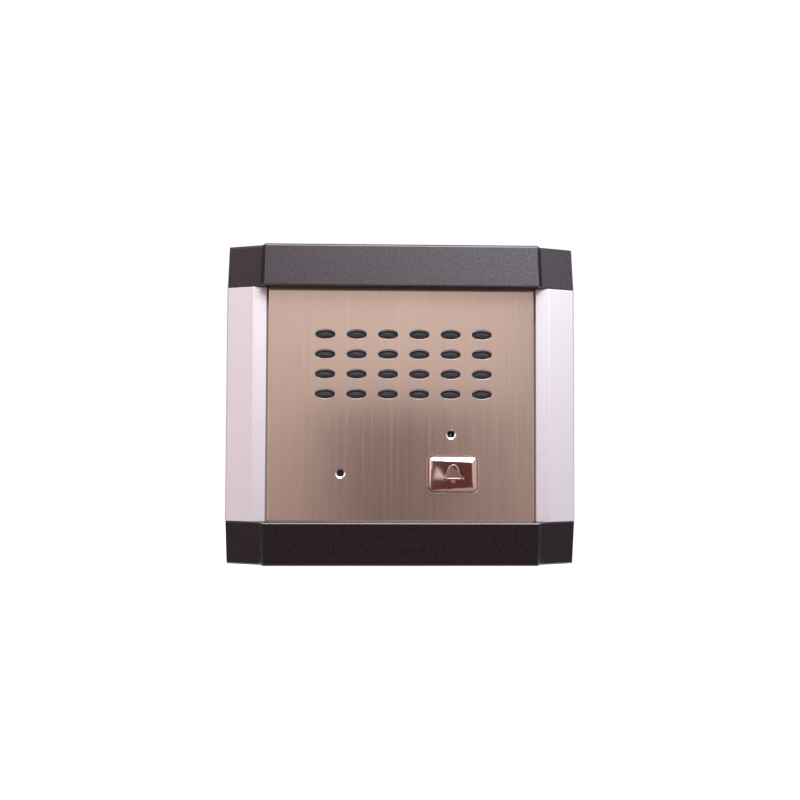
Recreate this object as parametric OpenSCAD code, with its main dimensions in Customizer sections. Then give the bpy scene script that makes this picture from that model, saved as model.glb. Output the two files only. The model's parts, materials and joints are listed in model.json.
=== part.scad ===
// Hands-free wall intercom station: two extruded side rails, two moulded end caps and a slotted steel
// front plate that carries the speaker, the microphone, the lamp, the push-button and the circuit board.
// Pieces are drawn lying on their back: X across, Y up the wall, Z out from the wall.
// stand() then hangs them up, with the wall plane at Y = 0 and the front facing -Y.

/* [Body] */
// Overall width across the side rails
body_w = 130; // [124:1:160]
// Overall height across the end caps
body_h = 118.8; // [112:0.2:150]
// Distance from the wall to the face of the front plate
plate_face = 31; // [29:0.5:40]
// Clearance between pieces that slide or drop together
fit_gap = 0.2; // [0.1:0.05:0.3]

/* [Side rails] */
// Visible width of a rail
rail_w = 15.6; // [14:0.1:18]
// Wall thickness of the extrusion
rail_wall = 1.6; // [1.2:0.1:2]
// Width of the facet beside the front plate
rail_flat_w = 5.5; // [4.5:0.1:7]
// Height of a rail's inner edge above the plate
rail_lip_rise = 1.4; // [1:0.1:2]
// Height of the ridge between the two facets above the plate
rail_ridge_rise = 2.1; // [2:0.1:3]
// Drop of a rail's outer edge below the plate
rail_edge_drop = 1.9; // [0:0.1:4]
// Depth of the groove that holds the plate's edge
groove_depth = 3.2; // [2:0.1:4]
// Width of the flange around the line of the back cover's screws
flange_w = 6; // [5.5:0.5:8]
// Thickness of that flange
flange_t = 1.8; // [1.4:0.1:2.4]
// Outer diameter of the screw port
port_d = 6; // [5:0.5:7]
// Distance of the screw port from the wall
port_z = 13; // [11:0.5:15]

/* [End caps] */
// Height of a cap
cap_h = 16.2; // [13:0.1:19]
// Wall thickness of a cap
cap_wall = 2.2; // [1.6:0.1:2.8]
// Thickness of the floor that meets the rails and of the lip over the plate
cap_floor = 2.4; // [2:0.1:3]
// Rise of the middle of a cap above its ends
cap_raise = 4.6; // [2:0.1:6]
// How far the front leans back at the outer edge
cap_lean = 4; // [1:0.1:6]
// Width of the sloped flank of the raised middle
cap_flank_w = 2.4; // [1:0.1:4]
// Reach of the raised middle past the rails' inner edges
cap_reach = 0.7; // [0:0.1:1]
// How far the ends of a cap stay inside the rails' outer faces
cap_end_gap = 0.3; // [0:0.1:0.8]
// Bevel along the outer edge
cap_bevel = 0.8; // [0.4:0.1:1.5]
// Length of the tongue that keys a cap into a rail
tongue_l = 6; // [4:0.5:10]
// Width and thickness of that tongue
tongue_t = 4.5; // [3:0.5:5]

/* [Fasteners] */
// Shank diameter of the cap screws
cap_screw_d = 2.8; // [2.4:0.1:3.2]
// Length of a cap screw below its head
cap_screw_l = 11; // [8:0.5:16]
// Head diameter of the cap screws
cap_head_d = 5.6; // [5:0.1:6.4]
// Head height of the cap screws
cap_head_h = 2.2; // [1.6:0.1:3]
// Thread diameter of the weld studs and of the screws on the board and the back
stud_d = 3; // [2.5:0.5:3.5]
// Width across the flats of the nuts and spacers
hex_af = 5.5; // [5:0.1:6.5]
// Height of a nut
nut_h = 2.4; // [1.8:0.1:3]
// Head height of the board screws
board_head_h = 1.9; // [1.4:0.1:2.6]

/* [Front plate] */
// Sheet thickness of the plate
plate_t = 1.2; // [0.8:0.1:1.6]
// How far the plate's ends tuck behind the caps' lips
plate_tuck = 3; // [2:0.1:4.5]
// Number of slots across the grille
slot_cols = 6; // [2:1:7]
// Number of slot rows
slot_rows = 4; // [1:1:5]
// Slot spacing across
slot_pitch_x = 11.65; // [9:0.05:12.5]
// Slot spacing between rows
slot_pitch_y = 7.4; // [5:0.1:8.5]
// Length of an oval slot
slot_l = 7.4; // [5:0.1:8.5]
// Height of a slot at its middle
slot_h = 3.2; // [2:0.1:4.5]
// Position of the grille's centre across
grille_x = 0.9; // [-3:0.1:3]
// Position of the grille's centre up
grille_y = 14.9; // [13:0.1:17]
// Diameter of the two small holes
pinhole_d = 2.4; // [1.5:0.1:3]
// Diameter of their countersinks at the plate's face
pinhole_sink_d = 3.8; // [3.2:0.1:5]
// Position of the microphone hole across
mic_x = -22.4; // [-26:0.1:-18]
// Position of the microphone hole up
mic_y = -25.5; // [-30:0.1:-21]
// Position of the lamp hole across
lamp_x = 18.5; // [12:0.1:26]
// Position of the lamp hole up
lamp_y = -11; // [-12.5:0.1:-10]

/* [Push-button] */
// Position of the button across
button_x = 19.2; // [16:0.1:24]
// Position of the button up
button_y = -25.6; // [-29:0.1:-25]
// Width of the button
button_w = 17.4; // [14:0.1:19]
// Height of the button
button_h = 12.4; // [10:0.1:13.5]
// Corner radius of the button
button_corner_r = 1.6; // [1.5:0.1:3]
// Gap between the button and the edge of its cut-out
button_gap = 0.55; // [0.4:0.05:0.8]
// Height of the button's top edge above the plate
button_rise = 2.2; // [1.8:0.1:4]
// Width of the bevel around the button's face
button_bevel_w = 1.25; // [0.6:0.05:2]
// Height of that bevel
button_bevel_h = 1.3; // [0.5:0.1:1.6]
// Crown of the button's face
button_crown = 0.4; // [0.2:0.1:0.8]
// Wall thickness of the button
button_wall = 1.4; // [1:0.1:1.5]
// Width of the stop lip behind the plate
button_lip_w = 1.6; // [1.2:0.1:2]
// Thickness of that lip
button_lip_t = 1.4; // [1:0.1:2]
// Travel of the button
button_travel = 1.6; // [0.8:0.1:2]
// Gap between the button's lip and the back of the plate
stop_gap = 0.2; // [0.1:0.05:0.3]
// Diameter of the stem that works the switch
stem_d = 4.4; // [3.5:0.1:4.6]
// Wall thickness of the guide behind the plate
guide_wall = 1.6; // [1.2:0.1:2]
// Running gap around the lip and the stem
guide_gap = 0.4; // [0.3:0.05:0.6]
// Wire diameter of the return spring
spring_wire = 0.6; // [0.4:0.1:0.7]
// Mean diameter of the return spring
spring_d = 6.4; // [6.4:0.1:7.4]
// Length of the return spring at rest
spring_l = 6; // [5:0.5:6.5]
// Turns of the return spring
spring_turns = 4; // [3:0.5:4]

/* [Switch] */
// Side of the square switch body
switch_w = 12; // [9:0.5:12]
// Diameter of the switch plunger
plunger_d = 3.8; // [3:0.1:4]
// Running gap around the plunger
plunger_gap = 0.05; // [0.02:0.01:0.1]
// Part of the plunger that stays guided at rest
plunger_hold = 1.2; // [0.8:0.1:2]
// Part of the plunger that stays proud when pressed
plunger_proud = 0.8; // [0.4:0.1:1.2]
// Gap between the stem and the plunger
contact_gap = 0.3; // [0.2:0.05:0.5]

/* [Speaker] */
// Diameter of the speaker
speaker_d = 50; // [46:1:54]
// Width of the basket's rim
rim_w = 3.5; // [3:0.1:4.5]
// Sheet thickness of the basket
basket_t = 0.9; // [0.6:0.1:1.2]
// Depth of the basket
basket_depth = 8; // [7:0.5:10]
// Number of windows in the basket
basket_windows = 6; // [4:1:8]
// Thickness of the cloth
cloth_t = 0.4; // [0.2:0.1:0.6]
// Thickness of the foam gasket
gasket_t = 1.5; // [1:0.1:2.5]
// Thickness of the paper cone
cone_t = 0.4; // [0.3:0.1:0.6]
// Diameter of the magnet
magnet_d = 30; // [26:1:32]
// Thickness of the magnet
magnet_t = 6; // [4:0.5:8]
// Thickness of the steel plates on each side of the magnet
pole_t = 2.5; // [2:0.1:3]
// Diameter of the centre pole
pole_d = 12.4; // [10:0.1:14]
// Width of the ring-shaped air gap around the pole
air_gap = 1.5; // [1.3:0.1:1.8]
// Thickness of the clamp ring
clamp_t = 1.2; // [1:0.1:1.6]
// Distance of the clamp's studs from the speaker's rim
clamp_reach = 4.5; // [4:0.1:5]

/* [Circuit board] */
// Width of the board
board_w = 88; // [84:1:92]
// Height of the board
board_h = 34; // [31:0.5:35]
// Position of the board's centre up
board_y = -25; // [-26:0.1:-24]
// Thickness of the board
board_t = 1.6; // [1:0.1:2]
// Distance of the board's holes from its edges
board_inset = 4; // [3.5:0.1:5]
// Length of the spacers between plate and board
spacer_l = 13.2; // [12:0.1:15]
// Diameter of the microphone capsule
mic_d = 9.7; // [6:0.1:10]
// Length of the microphone capsule
mic_l = 6.7; // [4:0.1:8]
// Wall thickness of the microphone's boot
boot_wall = 1.6; // [1:0.1:1.8]
// Diameter of the lamp
led_d = 3; // [2:0.5:3]
// Length of the lamp
led_l = 5.2; // [4:0.1:6]
// Wall of the lamp's spacer around its leads
led_holder_wall = 1.6; // [1:0.1:2]
// Number of poles of the terminal block
pole_count = 4; // [2:1:5]
// Pole spacing of the terminal block
pole_pitch = 5; // [4.5:0.1:5.5]
// Depth of the terminal block along the board
terminal_d = 8; // [7:0.5:10]
// Height of the terminal block off the board
terminal_h = 9; // [8:0.5:10]
// Diameter of the terminal screws
terminal_screw_d = 3.5; // [3:0.1:3.8]
// Diameter of the larger capacitors
capacitor_d = 8; // [6:0.5:8.5]
// Height of the capacitors
capacitor_h = 10; // [6:0.5:10]
// Length of the amplifier chip
chip_l = 9.6; // [6:0.1:12]
// Width of the amplifier chip
chip_w = 6.4; // [5:0.1:7]
// Height of the amplifier chip off the board
chip_h = 3.6; // [2.5:0.1:4.5]
// Height of the speaker socket off the board
socket_h = 5.5; // [5:0.1:5.8]
// Wire diameter of the speaker lead
lead_d = 1.3; // [1:0.1:1.6]

/* [Back] */
// Sheet thickness of the back cover
back_t = 1.2; // [1:0.1:1.6]
// Wall-screw spacing across
wall_screw_x = 96; // [80:1:104]
// Wall-screw spacing up
wall_screw_y = 64; // [50:1:72]
// Diameter of the wall-screw holes
wall_screw_d = 4.5; // [3.5:0.1:5.5]
// Distance of the back screws from the rails' ends
back_screw_end = 12; // [8:0.5:20]
// Position of the cable entry across
cable_x = 8; // [4:0.5:20]
// Position of the cable entry up
cable_y = -30; // [-34:0.5:-20]
// Bore of the cable grommet
cable_d = 7; // [5:0.5:8]
// Wall of the grommet around the cable
grommet_wall = 2.5; // [1.5:0.1:3]
// Length of the grommet inside the back cover
grommet_l = 4.8; // [3:0.1:6]

/* [Hidden] */
$fn = 48;
// Overshoot of cuts
cut = 1;
// Half size of blocks that only bound a shape
far = 200;

// Rails
side_x = body_w / 2;
rail_in = side_x - rail_w;
rail_end = body_h / 2 - cap_h;
rail_len = 2 * rail_end;
ridge_x = rail_in + rail_flat_w;
groove_x = rail_in + groove_depth;
lip_z = plate_face + rail_lip_rise;
ridge_z = plate_face + rail_ridge_rise;
edge_z = plate_face - rail_edge_drop;
cap_x = side_x - cap_end_gap;
port_x = cap_x - cap_wall - cap_head_d / 2 - 3 * fit_gap;
port_slit = 1;

// Front plate
plate_back = plate_face - plate_t;
plate_w = 2 * (groove_x - fit_gap);
plate_h = rail_len + 2 * plate_tuck;
groove_z = plate_face + fit_gap;
jaw_z = plate_back - fit_gap;
stud_l = 7;
short_stud_l = 5;
thread_gap = 0.05;

// Caps: the lean is a turn about the rails' ends, and the outline's heights are measured from the plate
lean_a = atan(cap_lean / cap_h);
bevel_a = (90 + lean_a) / 2;
bevel_y = body_h / 2 - cap_bevel;
bevel_z = plate_face - cap_lean * (cap_h - cap_bevel) / cap_h;
middle_x = rail_in + cap_reach;
foot_x = middle_x + cap_flank_w;
end_slope = (rail_ridge_rise + rail_edge_drop) / (side_x - ridge_x);
foot_rise = rail_ridge_rise + (ridge_x - foot_x) * end_slope;
middle_rise = rail_ridge_rise + cap_raise;
end_rise = cap_end_gap * end_slope - rail_edge_drop;
screw_hole_gap = 0.4;
plug_r = cap_head_d / 2 + screw_hole_gap;
plug_lip_w = 0.9;
plug_lip_t = 0.8;
tongue_z = port_z + port_d / 2 + 2 * fit_gap;

// Button and switch, from the front to the board
board_front = plate_back - spacer_l;
board_back = board_front - board_t;
button_top = plate_face + button_rise;
ceiling_z = button_top - button_wall;
lip_front = plate_back - stop_gap;
lip_back = lip_front - button_lip_t;
lip_w = button_w + 2 * button_lip_w;
lip_h = button_h + 2 * button_lip_w;
guide_w = lip_w + 2 * (guide_gap + guide_wall);
guide_h = lip_h + 2 * (guide_gap + guide_wall);
guide_top = ceiling_z - spring_l;
guide_floor = guide_top - guide_wall;
ear_margin = 0.7;
ear_r = hex_af / 2 + ear_margin;
ear_x = guide_w / 2 + ear_r;
ear_t = 2.4;
switch_base = 0.6;
switch_rest = 0.2;
switch_top = board_front + switch_base + switch_rest + button_travel + plunger_hold;
plunger_back = switch_top - plunger_hold;
plunger_top = switch_top + button_travel + plunger_proud;
stem_back = plunger_top + contact_gap;
rivet_inset = 1;
rivet_w = 1;
rivet_t = 0.5;

// Return spring, a tube of six sides swept along a helix
spring_rings = 12;
spring_sides = 6;
spring_seat = 0.05;
spring_low = guide_top + spring_wire / 2 + spring_seat;
spring_high = ceiling_z - spring_wire / 2 - spring_seat;
spring_steps = floor(spring_turns * spring_rings);

// Speaker stack, from the plate backwards
speaker_r = speaker_d / 2;
cloth_back = plate_back - cloth_t;
gasket_back = cloth_back - gasket_t;
rim_z = gasket_back - cone_t;
clamp_front = rim_z - basket_t;
clamp_back = clamp_front - clamp_t;
basket_back = rim_z - basket_depth;
pole_back = basket_back - pole_t;
magnet_back = pole_back - magnet_t;
yoke_back = magnet_back - pole_t;
rim_in = speaker_r - rim_w;
basket_margin = 0.5;
basket_r = magnet_d / 2 + basket_margin;
pole_step = 1;
pole_plate_r = magnet_d / 2 - pole_step;
pole_r = pole_d / 2;
gap_r = pole_r + air_gap;
coil_gap = air_gap / 3;
coil_r = pole_r + coil_gap;
coil_t = air_gap - 2 * coil_gap;
neck_r = coil_r + coil_t + thread_gap;
neck_lift = 1;
neck_h = 1;
neck_z = basket_back + basket_t + neck_lift;
neck_top = neck_z + cone_t + neck_h;
coil_reach = 1;
dust_cap_rise = 2.4;
cone_gap = 0.1;
cone_trim = 0.5;
rim_bare = 1;
clamp_in = rim_in + basket_t + rim_bare;
clamp_margin = 1.5;
clamp_out = speaker_r + clamp_margin;
clamp_angle = 30;
clamp_stud_r = speaker_r + clamp_reach;
clamp_studs = [for (sx = [-1, 1], sy = [-1, 1])
    [grille_x + sx * clamp_stud_r * cos(clamp_angle), grille_y + sy * clamp_stud_r * sin(clamp_angle)]];
cloth_margin = 2.5;
cloth_w = (slot_cols - 1) * slot_pitch_x + slot_l + 2 * cloth_margin;
cloth_h = (slot_rows - 1) * slot_pitch_y + slot_h + 2 * cloth_margin;
roll_w = 2;
roll_h = 0.8;
tag_w = 7;
tag_out = 3;
tag_root = (rim_in + basket_t + basket_r) / 2;
tag_y = grille_y - tag_root - tag_out;
tag_z = (clamp_front + basket_back - basket_t) / 2;

// Board and what stands on it, placed from the board's centre
board_holes = [for (sx = [-1, 1], sy = [-1, 1])
    [sx * (board_w / 2 - board_inset), board_y + sy * (board_h / 2 - board_inset)]];
guide_studs = [for (sx = [-1, 1]) [button_x + sx * ear_x, button_y]];
boot_front = 2;
boot_r = mic_d / 2 + boot_wall;
led_gap = 0.5;
led_back = plate_back - led_gap - led_l;
led_flange_w = 0.4;
led_flange_t = 1;
lead_hole_r = 0.9;
holder_r = lead_hole_r + led_holder_wall;
terminal_at = [-20, -31];
terminal_wire = 2.6;
terminal_well = 5;
capacitor_at = [[-35, -19], [-35, -31]];
small_capacitor_at = [-8, -21];
small_capacitor_d = 6.3;
chip_at = [-6, -34];
chip_lift = 0.5;
chip_leg = 0.6;
chip_pitch = 2.54;
chip_legs = floor((chip_l - chip_leg) / chip_pitch) + 1;
socket_w = 7.5;
socket_d = 5;
lead_pitch = 2.54;
lead_bend = 1.5;
lead_y = tag_y + lead_d / 2;
lead_z = board_front + socket_h / 2;
socket_margin = 1;
socket_y = min(board_y + board_h / 2, lead_y - lead_bend) - socket_margin - socket_d / 2;

// Back
cover_x = min(side_x - rail_wall, cap_x - cap_wall) - fit_gap;
cover_y = body_h / 2 - cap_wall - fit_gap;
back_screw_y = rail_end - back_screw_end;
back_head_w = 1.3;
back_head_r = stud_d / 2 + back_head_w;
back_edge = 0.8;
back_screw_x = cover_x - back_edge - back_head_r;
flange_x = back_screw_x - flange_w / 2;
back_tip = 2;
grommet_r = cable_d / 2 + grommet_wall;
grommet_lip = 1.8;

// Shared shapes

// Turns a piece drawn on its back so that it hangs on the wall
module stand() {
    rotate([90, 0, 0]) children();
}

// The child and its mirror image across the middle of the station
module both_sides() {
    children();
    mirror([1, 0, 0]) children();
}

// The child and its mirror image above and below the middle
module both_ends() {
    children();
    mirror([0, 1, 0]) children();
}

// Box between low and high limits
module block(x, y, z) {
    translate([x[0], y[0], z[0]]) cube([x[1] - x[0], y[1] - y[0], z[1] - z[0]]);
}

// Round post between two heights
module post(r, z) {
    translate([0, 0, z[0]]) cylinder(r = r, h = z[1] - z[0]);
}

// Round tube between two heights
module tube(r_out, r_in, z) {
    difference() {
        post(r_out, z);
        post(r_in, [z[0] - cut, z[1] + cut]);
    }
}

// Hexagonal post between two heights
module hex_post(z) {
    translate([0, 0, z[0]]) cylinder(d = hex_af / cos(30), h = z[1] - z[0], $fn = 6);
}

// Rectangle with round corners
module rounded_rect(w, h, r) {
    square([w - 2 * r, h], center = true);
    square([w, h - 2 * r], center = true);
    for (sx = [-1, 1], sy = [-1, 1]) translate([sx * (w / 2 - r), sy * (h / 2 - r)]) circle(r);
}

// Upright prism of a rounded rectangle between two heights
module pad(w, h, r, z) {
    translate([0, 0, z[0]]) linear_extrude(z[1] - z[0]) rounded_rect(w, h, r);
}

// Ellipse, as punched for a grille slot
module oval(l, h) {
    scale([l / h, 1]) circle(h / 2);
}

// Side rails

// Front of the right rail's section, with its two facets: X across, Y out from the wall
module rail_front() {
    polygon([[rail_in, groove_z], [rail_in, lip_z], [ridge_x, ridge_z], [side_x, edge_z],
        [side_x, edge_z - rail_wall], [ridge_x, ridge_z - rail_wall], [groove_x, groove_z]]);
}

// Jaw and web that close the groove behind the front plate's edge
module rail_groove() {
    translate([rail_in, jaw_z - rail_wall]) square([groove_depth + rail_wall, rail_wall]);
    translate([groove_x, jaw_z - rail_wall]) square([rail_wall, lip_z - jaw_z + rail_wall]);
}

// Outer wall with the flange for the back cover and the slit screw port
module rail_side() {
    difference() {
        union() {
            translate([side_x - rail_wall, 0]) square([rail_wall, edge_z - rail_wall / 2]);
            translate([flange_x, back_t]) square([side_x - flange_x, flange_t]);
            translate([port_x, port_z - rail_wall / 2]) square([side_x - rail_wall / 2 - port_x, rail_wall]);
            translate([port_x, port_z]) circle(d = port_d);
        }
        translate([port_x, port_z]) circle(d = cap_screw_d + 2 * thread_gap);
        translate([port_x - port_d, port_z - port_slit / 2]) square([port_d, port_slit]);
    }
}

// Draws a section out over the length of a rail
module drawn_out() {
    translate([0, rail_end, 0]) rotate([90, 0, 0]) linear_extrude(rail_len) children();
}

module rail() {
    difference() {
        union() {
            drawn_out() rail_front();
            drawn_out() rail_groove();
            drawn_out() rail_side();
        }
        both_ends() translate([back_screw_x, back_screw_y, 0])
            post(stud_d / 2 + thread_gap, [0, back_t + flange_t + cut]);
    }
}

module rail_right() {
    color([0.86, 0.83, 0.84]) stand() rail();
}

module rail_left() {
    color([0.86, 0.83, 0.84]) stand() mirror([1, 0, 0]) rail();
}

// End caps

// Front outline of a cap, seen from above: heights above the plate, drawn in by an inset
function cap_half(inset, sx) = [[sx * (cap_x - inset), end_rise - inset],
    [sx * (foot_x - inset), foot_rise - inset], [sx * (middle_x - inset), middle_rise - inset]];
function cap_outline(inset) = let (left = cap_half(inset, -1), right = cap_half(inset, 1))
    concat(left, [for (i = [2 : -1 : 0]) right[i]], [[cap_x - inset, -far], [inset - cap_x, -far]]);

// Bar with that outline, leaning back from height z at y
module leaning_bar(inset, angle, y, z) {
    outline = [for (p = cap_outline(inset)) [p[0], p[1] * cos(angle)]];
    translate([0, y, z]) rotate([90 - angle, 0, 0]) linear_extrude(2 * far, center = true) polygon(outline);
}

module cap_outside() {
    intersection() {
        block([-cap_x, cap_x], [rail_end, body_h / 2], [0, far]);
        leaning_bar(0, lean_a, rail_end, plate_face);
        leaning_bar(0, bevel_a, bevel_y, bevel_z);
    }
}

module cap_inside() {
    room_x = cap_x - cap_wall;
    intersection() {
        block([-room_x, room_x], [rail_end + cap_floor, body_h / 2 - cap_wall], [-cut, far]);
        leaning_bar(cap_wall, lean_a, rail_end, plate_face);
    }
}

// Openings in a cap's floor: the room behind the plate, the plate's own slot and the back cover
module cap_floor_cuts() {
    through = [rail_end - cut, rail_end + cap_floor + cut];
    open_x = rail_in - cap_wall;
    slot_x = plate_w / 2 + fit_gap;
    block([-open_x, open_x], through, [-cut, groove_z]);
    block([-slot_x, slot_x], [rail_end - cut, rail_end + plate_tuck + fit_gap], [jaw_z, groove_z]);
    block([-cover_x - fit_gap, cover_x + fit_gap], through, [-cut, back_t + fit_gap]);
}

// Holes for a cap's screw and for the plug over it
module cap_screw_holes() {
    translate([port_x, 0, port_z]) rotate([-90, 0, 0]) {
        post(cap_screw_d / 2 + screw_hole_gap, [rail_end - cut, body_h / 2]);
        post(plug_r, [rail_end + cap_floor + cut, body_h / 2 + cut]);
        post(plug_r + plug_lip_w, [body_h / 2 - plug_lip_t, body_h / 2 + cut]);
    }
}

module cap_tongue() {
    root = side_x - rail_wall - 2 * fit_gap;
    along = [rail_end - tongue_l, rail_end + cap_floor / 2];
    block([root - tongue_t, root], along, [tongue_z, tongue_z + tongue_t]);
}

module cap() {
    difference() {
        cap_outside();
        cap_inside();
        cap_floor_cuts();
        both_sides() cap_screw_holes();
    }
    both_sides() cap_tongue();
}

module top_cap() {
    color([0.16, 0.15, 0.16]) stand() cap();
}

module bottom_cap() {
    color([0.16, 0.15, 0.16]) stand() mirror([0, 1, 0]) cap();
}

// The four cap screws' axes, each with its heights measured from the middle of the station
module at_cap_screws() {
    stand() both_ends() both_sides() translate([port_x, 0, port_z]) rotate([-90, 0, 0]) children();
}

module cap_screws() {
    head = rail_end + cap_floor;
    color([0.7, 0.7, 0.72]) at_cap_screws() {
        post(cap_screw_d / 2, [head - cap_screw_l, head]);
        post(cap_head_d / 2, [head, head + cap_head_h]);
    }
}

module screw_plugs() {
    top = body_h / 2;
    color([0.1, 0.1, 0.1]) at_cap_screws() {
        post(plug_r - thread_gap, [top - cap_wall, top]);
        post(plug_r + plug_lip_w - thread_gap, [top - plug_lip_t, top]);
    }
}

// Front plate

module grille_slots() {
    for (i = [0 : slot_cols - 1], j = [0 : slot_rows - 1])
        translate([(i - (slot_cols - 1) / 2) * slot_pitch_x, (j - (slot_rows - 1) / 2) * slot_pitch_y])
            oval(slot_l, slot_h);
}

module pinhole() {
    sink = (pinhole_sink_d - pinhole_d) / 2;
    post(pinhole_d / 2, [plate_back - cut, plate_face + cut]);
    translate([0, 0, plate_face - sink])
        cylinder(r1 = pinhole_d / 2, r2 = pinhole_d / 2 + sink + cut, h = sink + cut);
}

module front_plate() {
    color([0.7, 0.62, 0.57]) stand() {
        difference() {
            block([-plate_w / 2, plate_w / 2], [-plate_h / 2, plate_h / 2], [plate_back, plate_face]);
            translate([grille_x, grille_y, plate_back - cut])
                linear_extrude(plate_t + 2 * cut) grille_slots();
            translate([mic_x, mic_y, 0]) pinhole();
            translate([lamp_x, lamp_y, 0]) pinhole();
            translate([button_x, button_y, 0]) pad(button_w + 2 * button_gap, button_h + 2 * button_gap,
                button_corner_r + button_gap, [plate_back - cut, plate_face + cut]);
        }
        for (p = concat(clamp_studs, guide_studs))
            translate(p) post(stud_d / 2, [plate_back - stud_l, plate_back + plate_t / 2]);
        for (p = board_holes)
            translate(p) post(stud_d / 2, [plate_back - short_stud_l, plate_back + plate_t / 2]);
    }
}

// Back

module back_cover() {
    color([0.62, 0.63, 0.65]) stand() difference() {
        block([-cover_x, cover_x], [-cover_y, cover_y], [0, back_t]);
        both_ends() both_sides() translate([wall_screw_x / 2, wall_screw_y / 2, 0])
            post(wall_screw_d / 2, [-cut, back_t + cut]);
        both_ends() both_sides() translate([back_screw_x, back_screw_y, 0])
            cylinder(r1 = back_head_r + thread_gap, r2 = stud_d / 2 + thread_gap, h = back_t);
        translate([cable_x, cable_y, 0]) post(grommet_r + fit_gap, [-cut, back_t + cut]);
    }
}

module back_screws() {
    color([0.7, 0.7, 0.72]) stand() both_ends() both_sides() translate([back_screw_x, back_screw_y, 0]) {
        cylinder(r1 = back_head_r, r2 = stud_d / 2, h = back_t);
        post(stud_d / 2, [back_t, back_t + flange_t + back_tip]);
    }
}

module cable_grommet() {
    color([0.12, 0.12, 0.12]) stand() translate([cable_x, cable_y, 0]) difference() {
        union() {
            post(grommet_r, [0, back_t + grommet_l]);
            post(grommet_r + grommet_lip, [back_t, back_t + grommet_lip]);
        }
        post(cable_d / 2, [-cut, back_t + grommet_l + cut]);
    }
}

// Speaker

module at_speaker() {
    stand() translate([grille_x, grille_y, 0]) children();
}

module speaker_cloth() {
    color([0.25, 0.24, 0.26]) stand() difference() {
        translate([grille_x, grille_y, cloth_back]) linear_extrude(cloth_t) {
            square([cloth_w, cloth_h], center = true);
            circle(speaker_r);
        }
        for (p = clamp_studs) translate(p) post(stud_d / 2 + fit_gap, [cloth_back - cut, plate_back + cut]);
    }
}

module speaker_gasket() {
    color([0.2, 0.2, 0.2]) at_speaker() tube(speaker_r, rim_in + rim_bare, [gasket_back, cloth_back]);
}

module speaker_basket() {
    window = [basket_back + 2 * basket_t, rim_z - 2 * basket_t];
    window_w = PI * (rim_in + basket_r) / basket_windows / 2;
    color([0.55, 0.56, 0.58]) at_speaker() {
        difference() {
            rotate_extrude() polygon([[rim_in, rim_z], [speaker_r, rim_z], [speaker_r, clamp_front],
                [rim_in + basket_t, clamp_front], [basket_r, basket_back], [gap_r, basket_back],
                [gap_r, basket_back + basket_t], [basket_r - basket_t, basket_back + basket_t],
                [rim_in, clamp_front]]);
            for (i = [0 : basket_windows - 1]) rotate(360 * (i + 0.5) / basket_windows - 90)
                block([basket_r, speaker_r], [-window_w / 2, window_w / 2], window);
        }
        block([-tag_w / 2, tag_w / 2], [tag_y - grille_y, basket_t / 2 - tag_root],
            [tag_z, tag_z + basket_t]);
    }
}

module speaker_cone() {
    edge = rim_in - cone_gap;
    cone_r = speaker_r - cone_trim;
    color([0.1, 0.1, 0.1]) at_speaker() rotate_extrude() polygon([[cone_r, rim_z], [cone_r, gasket_back],
        [edge, gasket_back], [edge - roll_w / 2, gasket_back + roll_h], [edge - roll_w, gasket_back],
        [neck_r + cone_t, neck_top], [neck_r, neck_top], [neck_r, neck_z], [neck_r + cone_t, neck_z],
        [edge - roll_w, rim_z - cone_t], [edge - roll_w / 2, rim_z + roll_h - cone_t], [edge, rim_z]]);
}

module dust_cap() {
    r = neck_r + cone_t;
    ball = (r * r + dust_cap_rise * dust_cap_rise) / (2 * dust_cap_rise);
    ball_z = neck_top + dust_cap_rise - ball;
    color([0.14, 0.14, 0.14]) at_speaker() intersection() {
        difference() {
            translate([0, 0, ball_z]) sphere(ball);
            translate([0, 0, ball_z]) sphere(ball - cone_t);
        }
        post(r, [neck_top, neck_top + dust_cap_rise + cut]);
    }
}

module voice_coil() {
    color([0.72, 0.42, 0.2]) at_speaker() tube(coil_r + coil_t, coil_r, [pole_back - coil_reach, neck_top]);
}

module pole_plate() {
    color([0.6, 0.6, 0.62]) at_speaker() tube(pole_plate_r, gap_r, [pole_back, basket_back]);
}

module speaker_magnet() {
    color([0.2, 0.2, 0.21]) at_speaker() tube(magnet_d / 2, gap_r + pole_step, [magnet_back, pole_back]);
}

module pole_yoke() {
    color([0.6, 0.6, 0.62]) at_speaker() {
        post(pole_plate_r, [yoke_back, magnet_back]);
        post(pole_r, [yoke_back, basket_back]);
    }
}

module speaker_clamp() {
    hole = [clamp_back - cut, clamp_front + cut];
    color([0.66, 0.67, 0.69]) stand() difference() {
        union() {
            translate([grille_x, grille_y, 0]) post(clamp_out, [clamp_back, clamp_front]);
            for (p = clamp_studs) translate(p) post(ear_r, [clamp_back, clamp_front]);
        }
        translate([grille_x, grille_y, 0]) post(clamp_in, hole);
        for (p = clamp_studs) translate(p) post(stud_d / 2 + fit_gap, hole);
    }
}

module stud_nut(z) {
    difference() {
        hex_post([z - nut_h, z]);
        post(stud_d / 2 + thread_gap, [z - nut_h - cut, z + cut]);
    }
}

module stud_nuts() {
    color([0.78, 0.78, 0.8]) stand() {
        for (p = clamp_studs) translate(p) stud_nut(clamp_back);
        for (p = guide_studs) translate(p) stud_nut(plate_back - ear_t);
    }
}

// Push-button and switch

module at_button() {
    stand() translate([button_x, button_y, 0]) children();
}

// Bar along Y whose two upper edges are bevelled up to the crown
module bevelled_bar(w) {
    low = button_top - button_bevel_h;
    high = button_top + button_crown;
    in = button_bevel_w * (button_bevel_h + button_crown) / button_bevel_h;
    half = w / 2;
    rotate([90, 0, 0]) linear_extrude(far, center = true)
        polygon([[-half, 0], [-half, low], [in - half, high], [half - in, high], [half, low], [half, 0]]);
}

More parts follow.
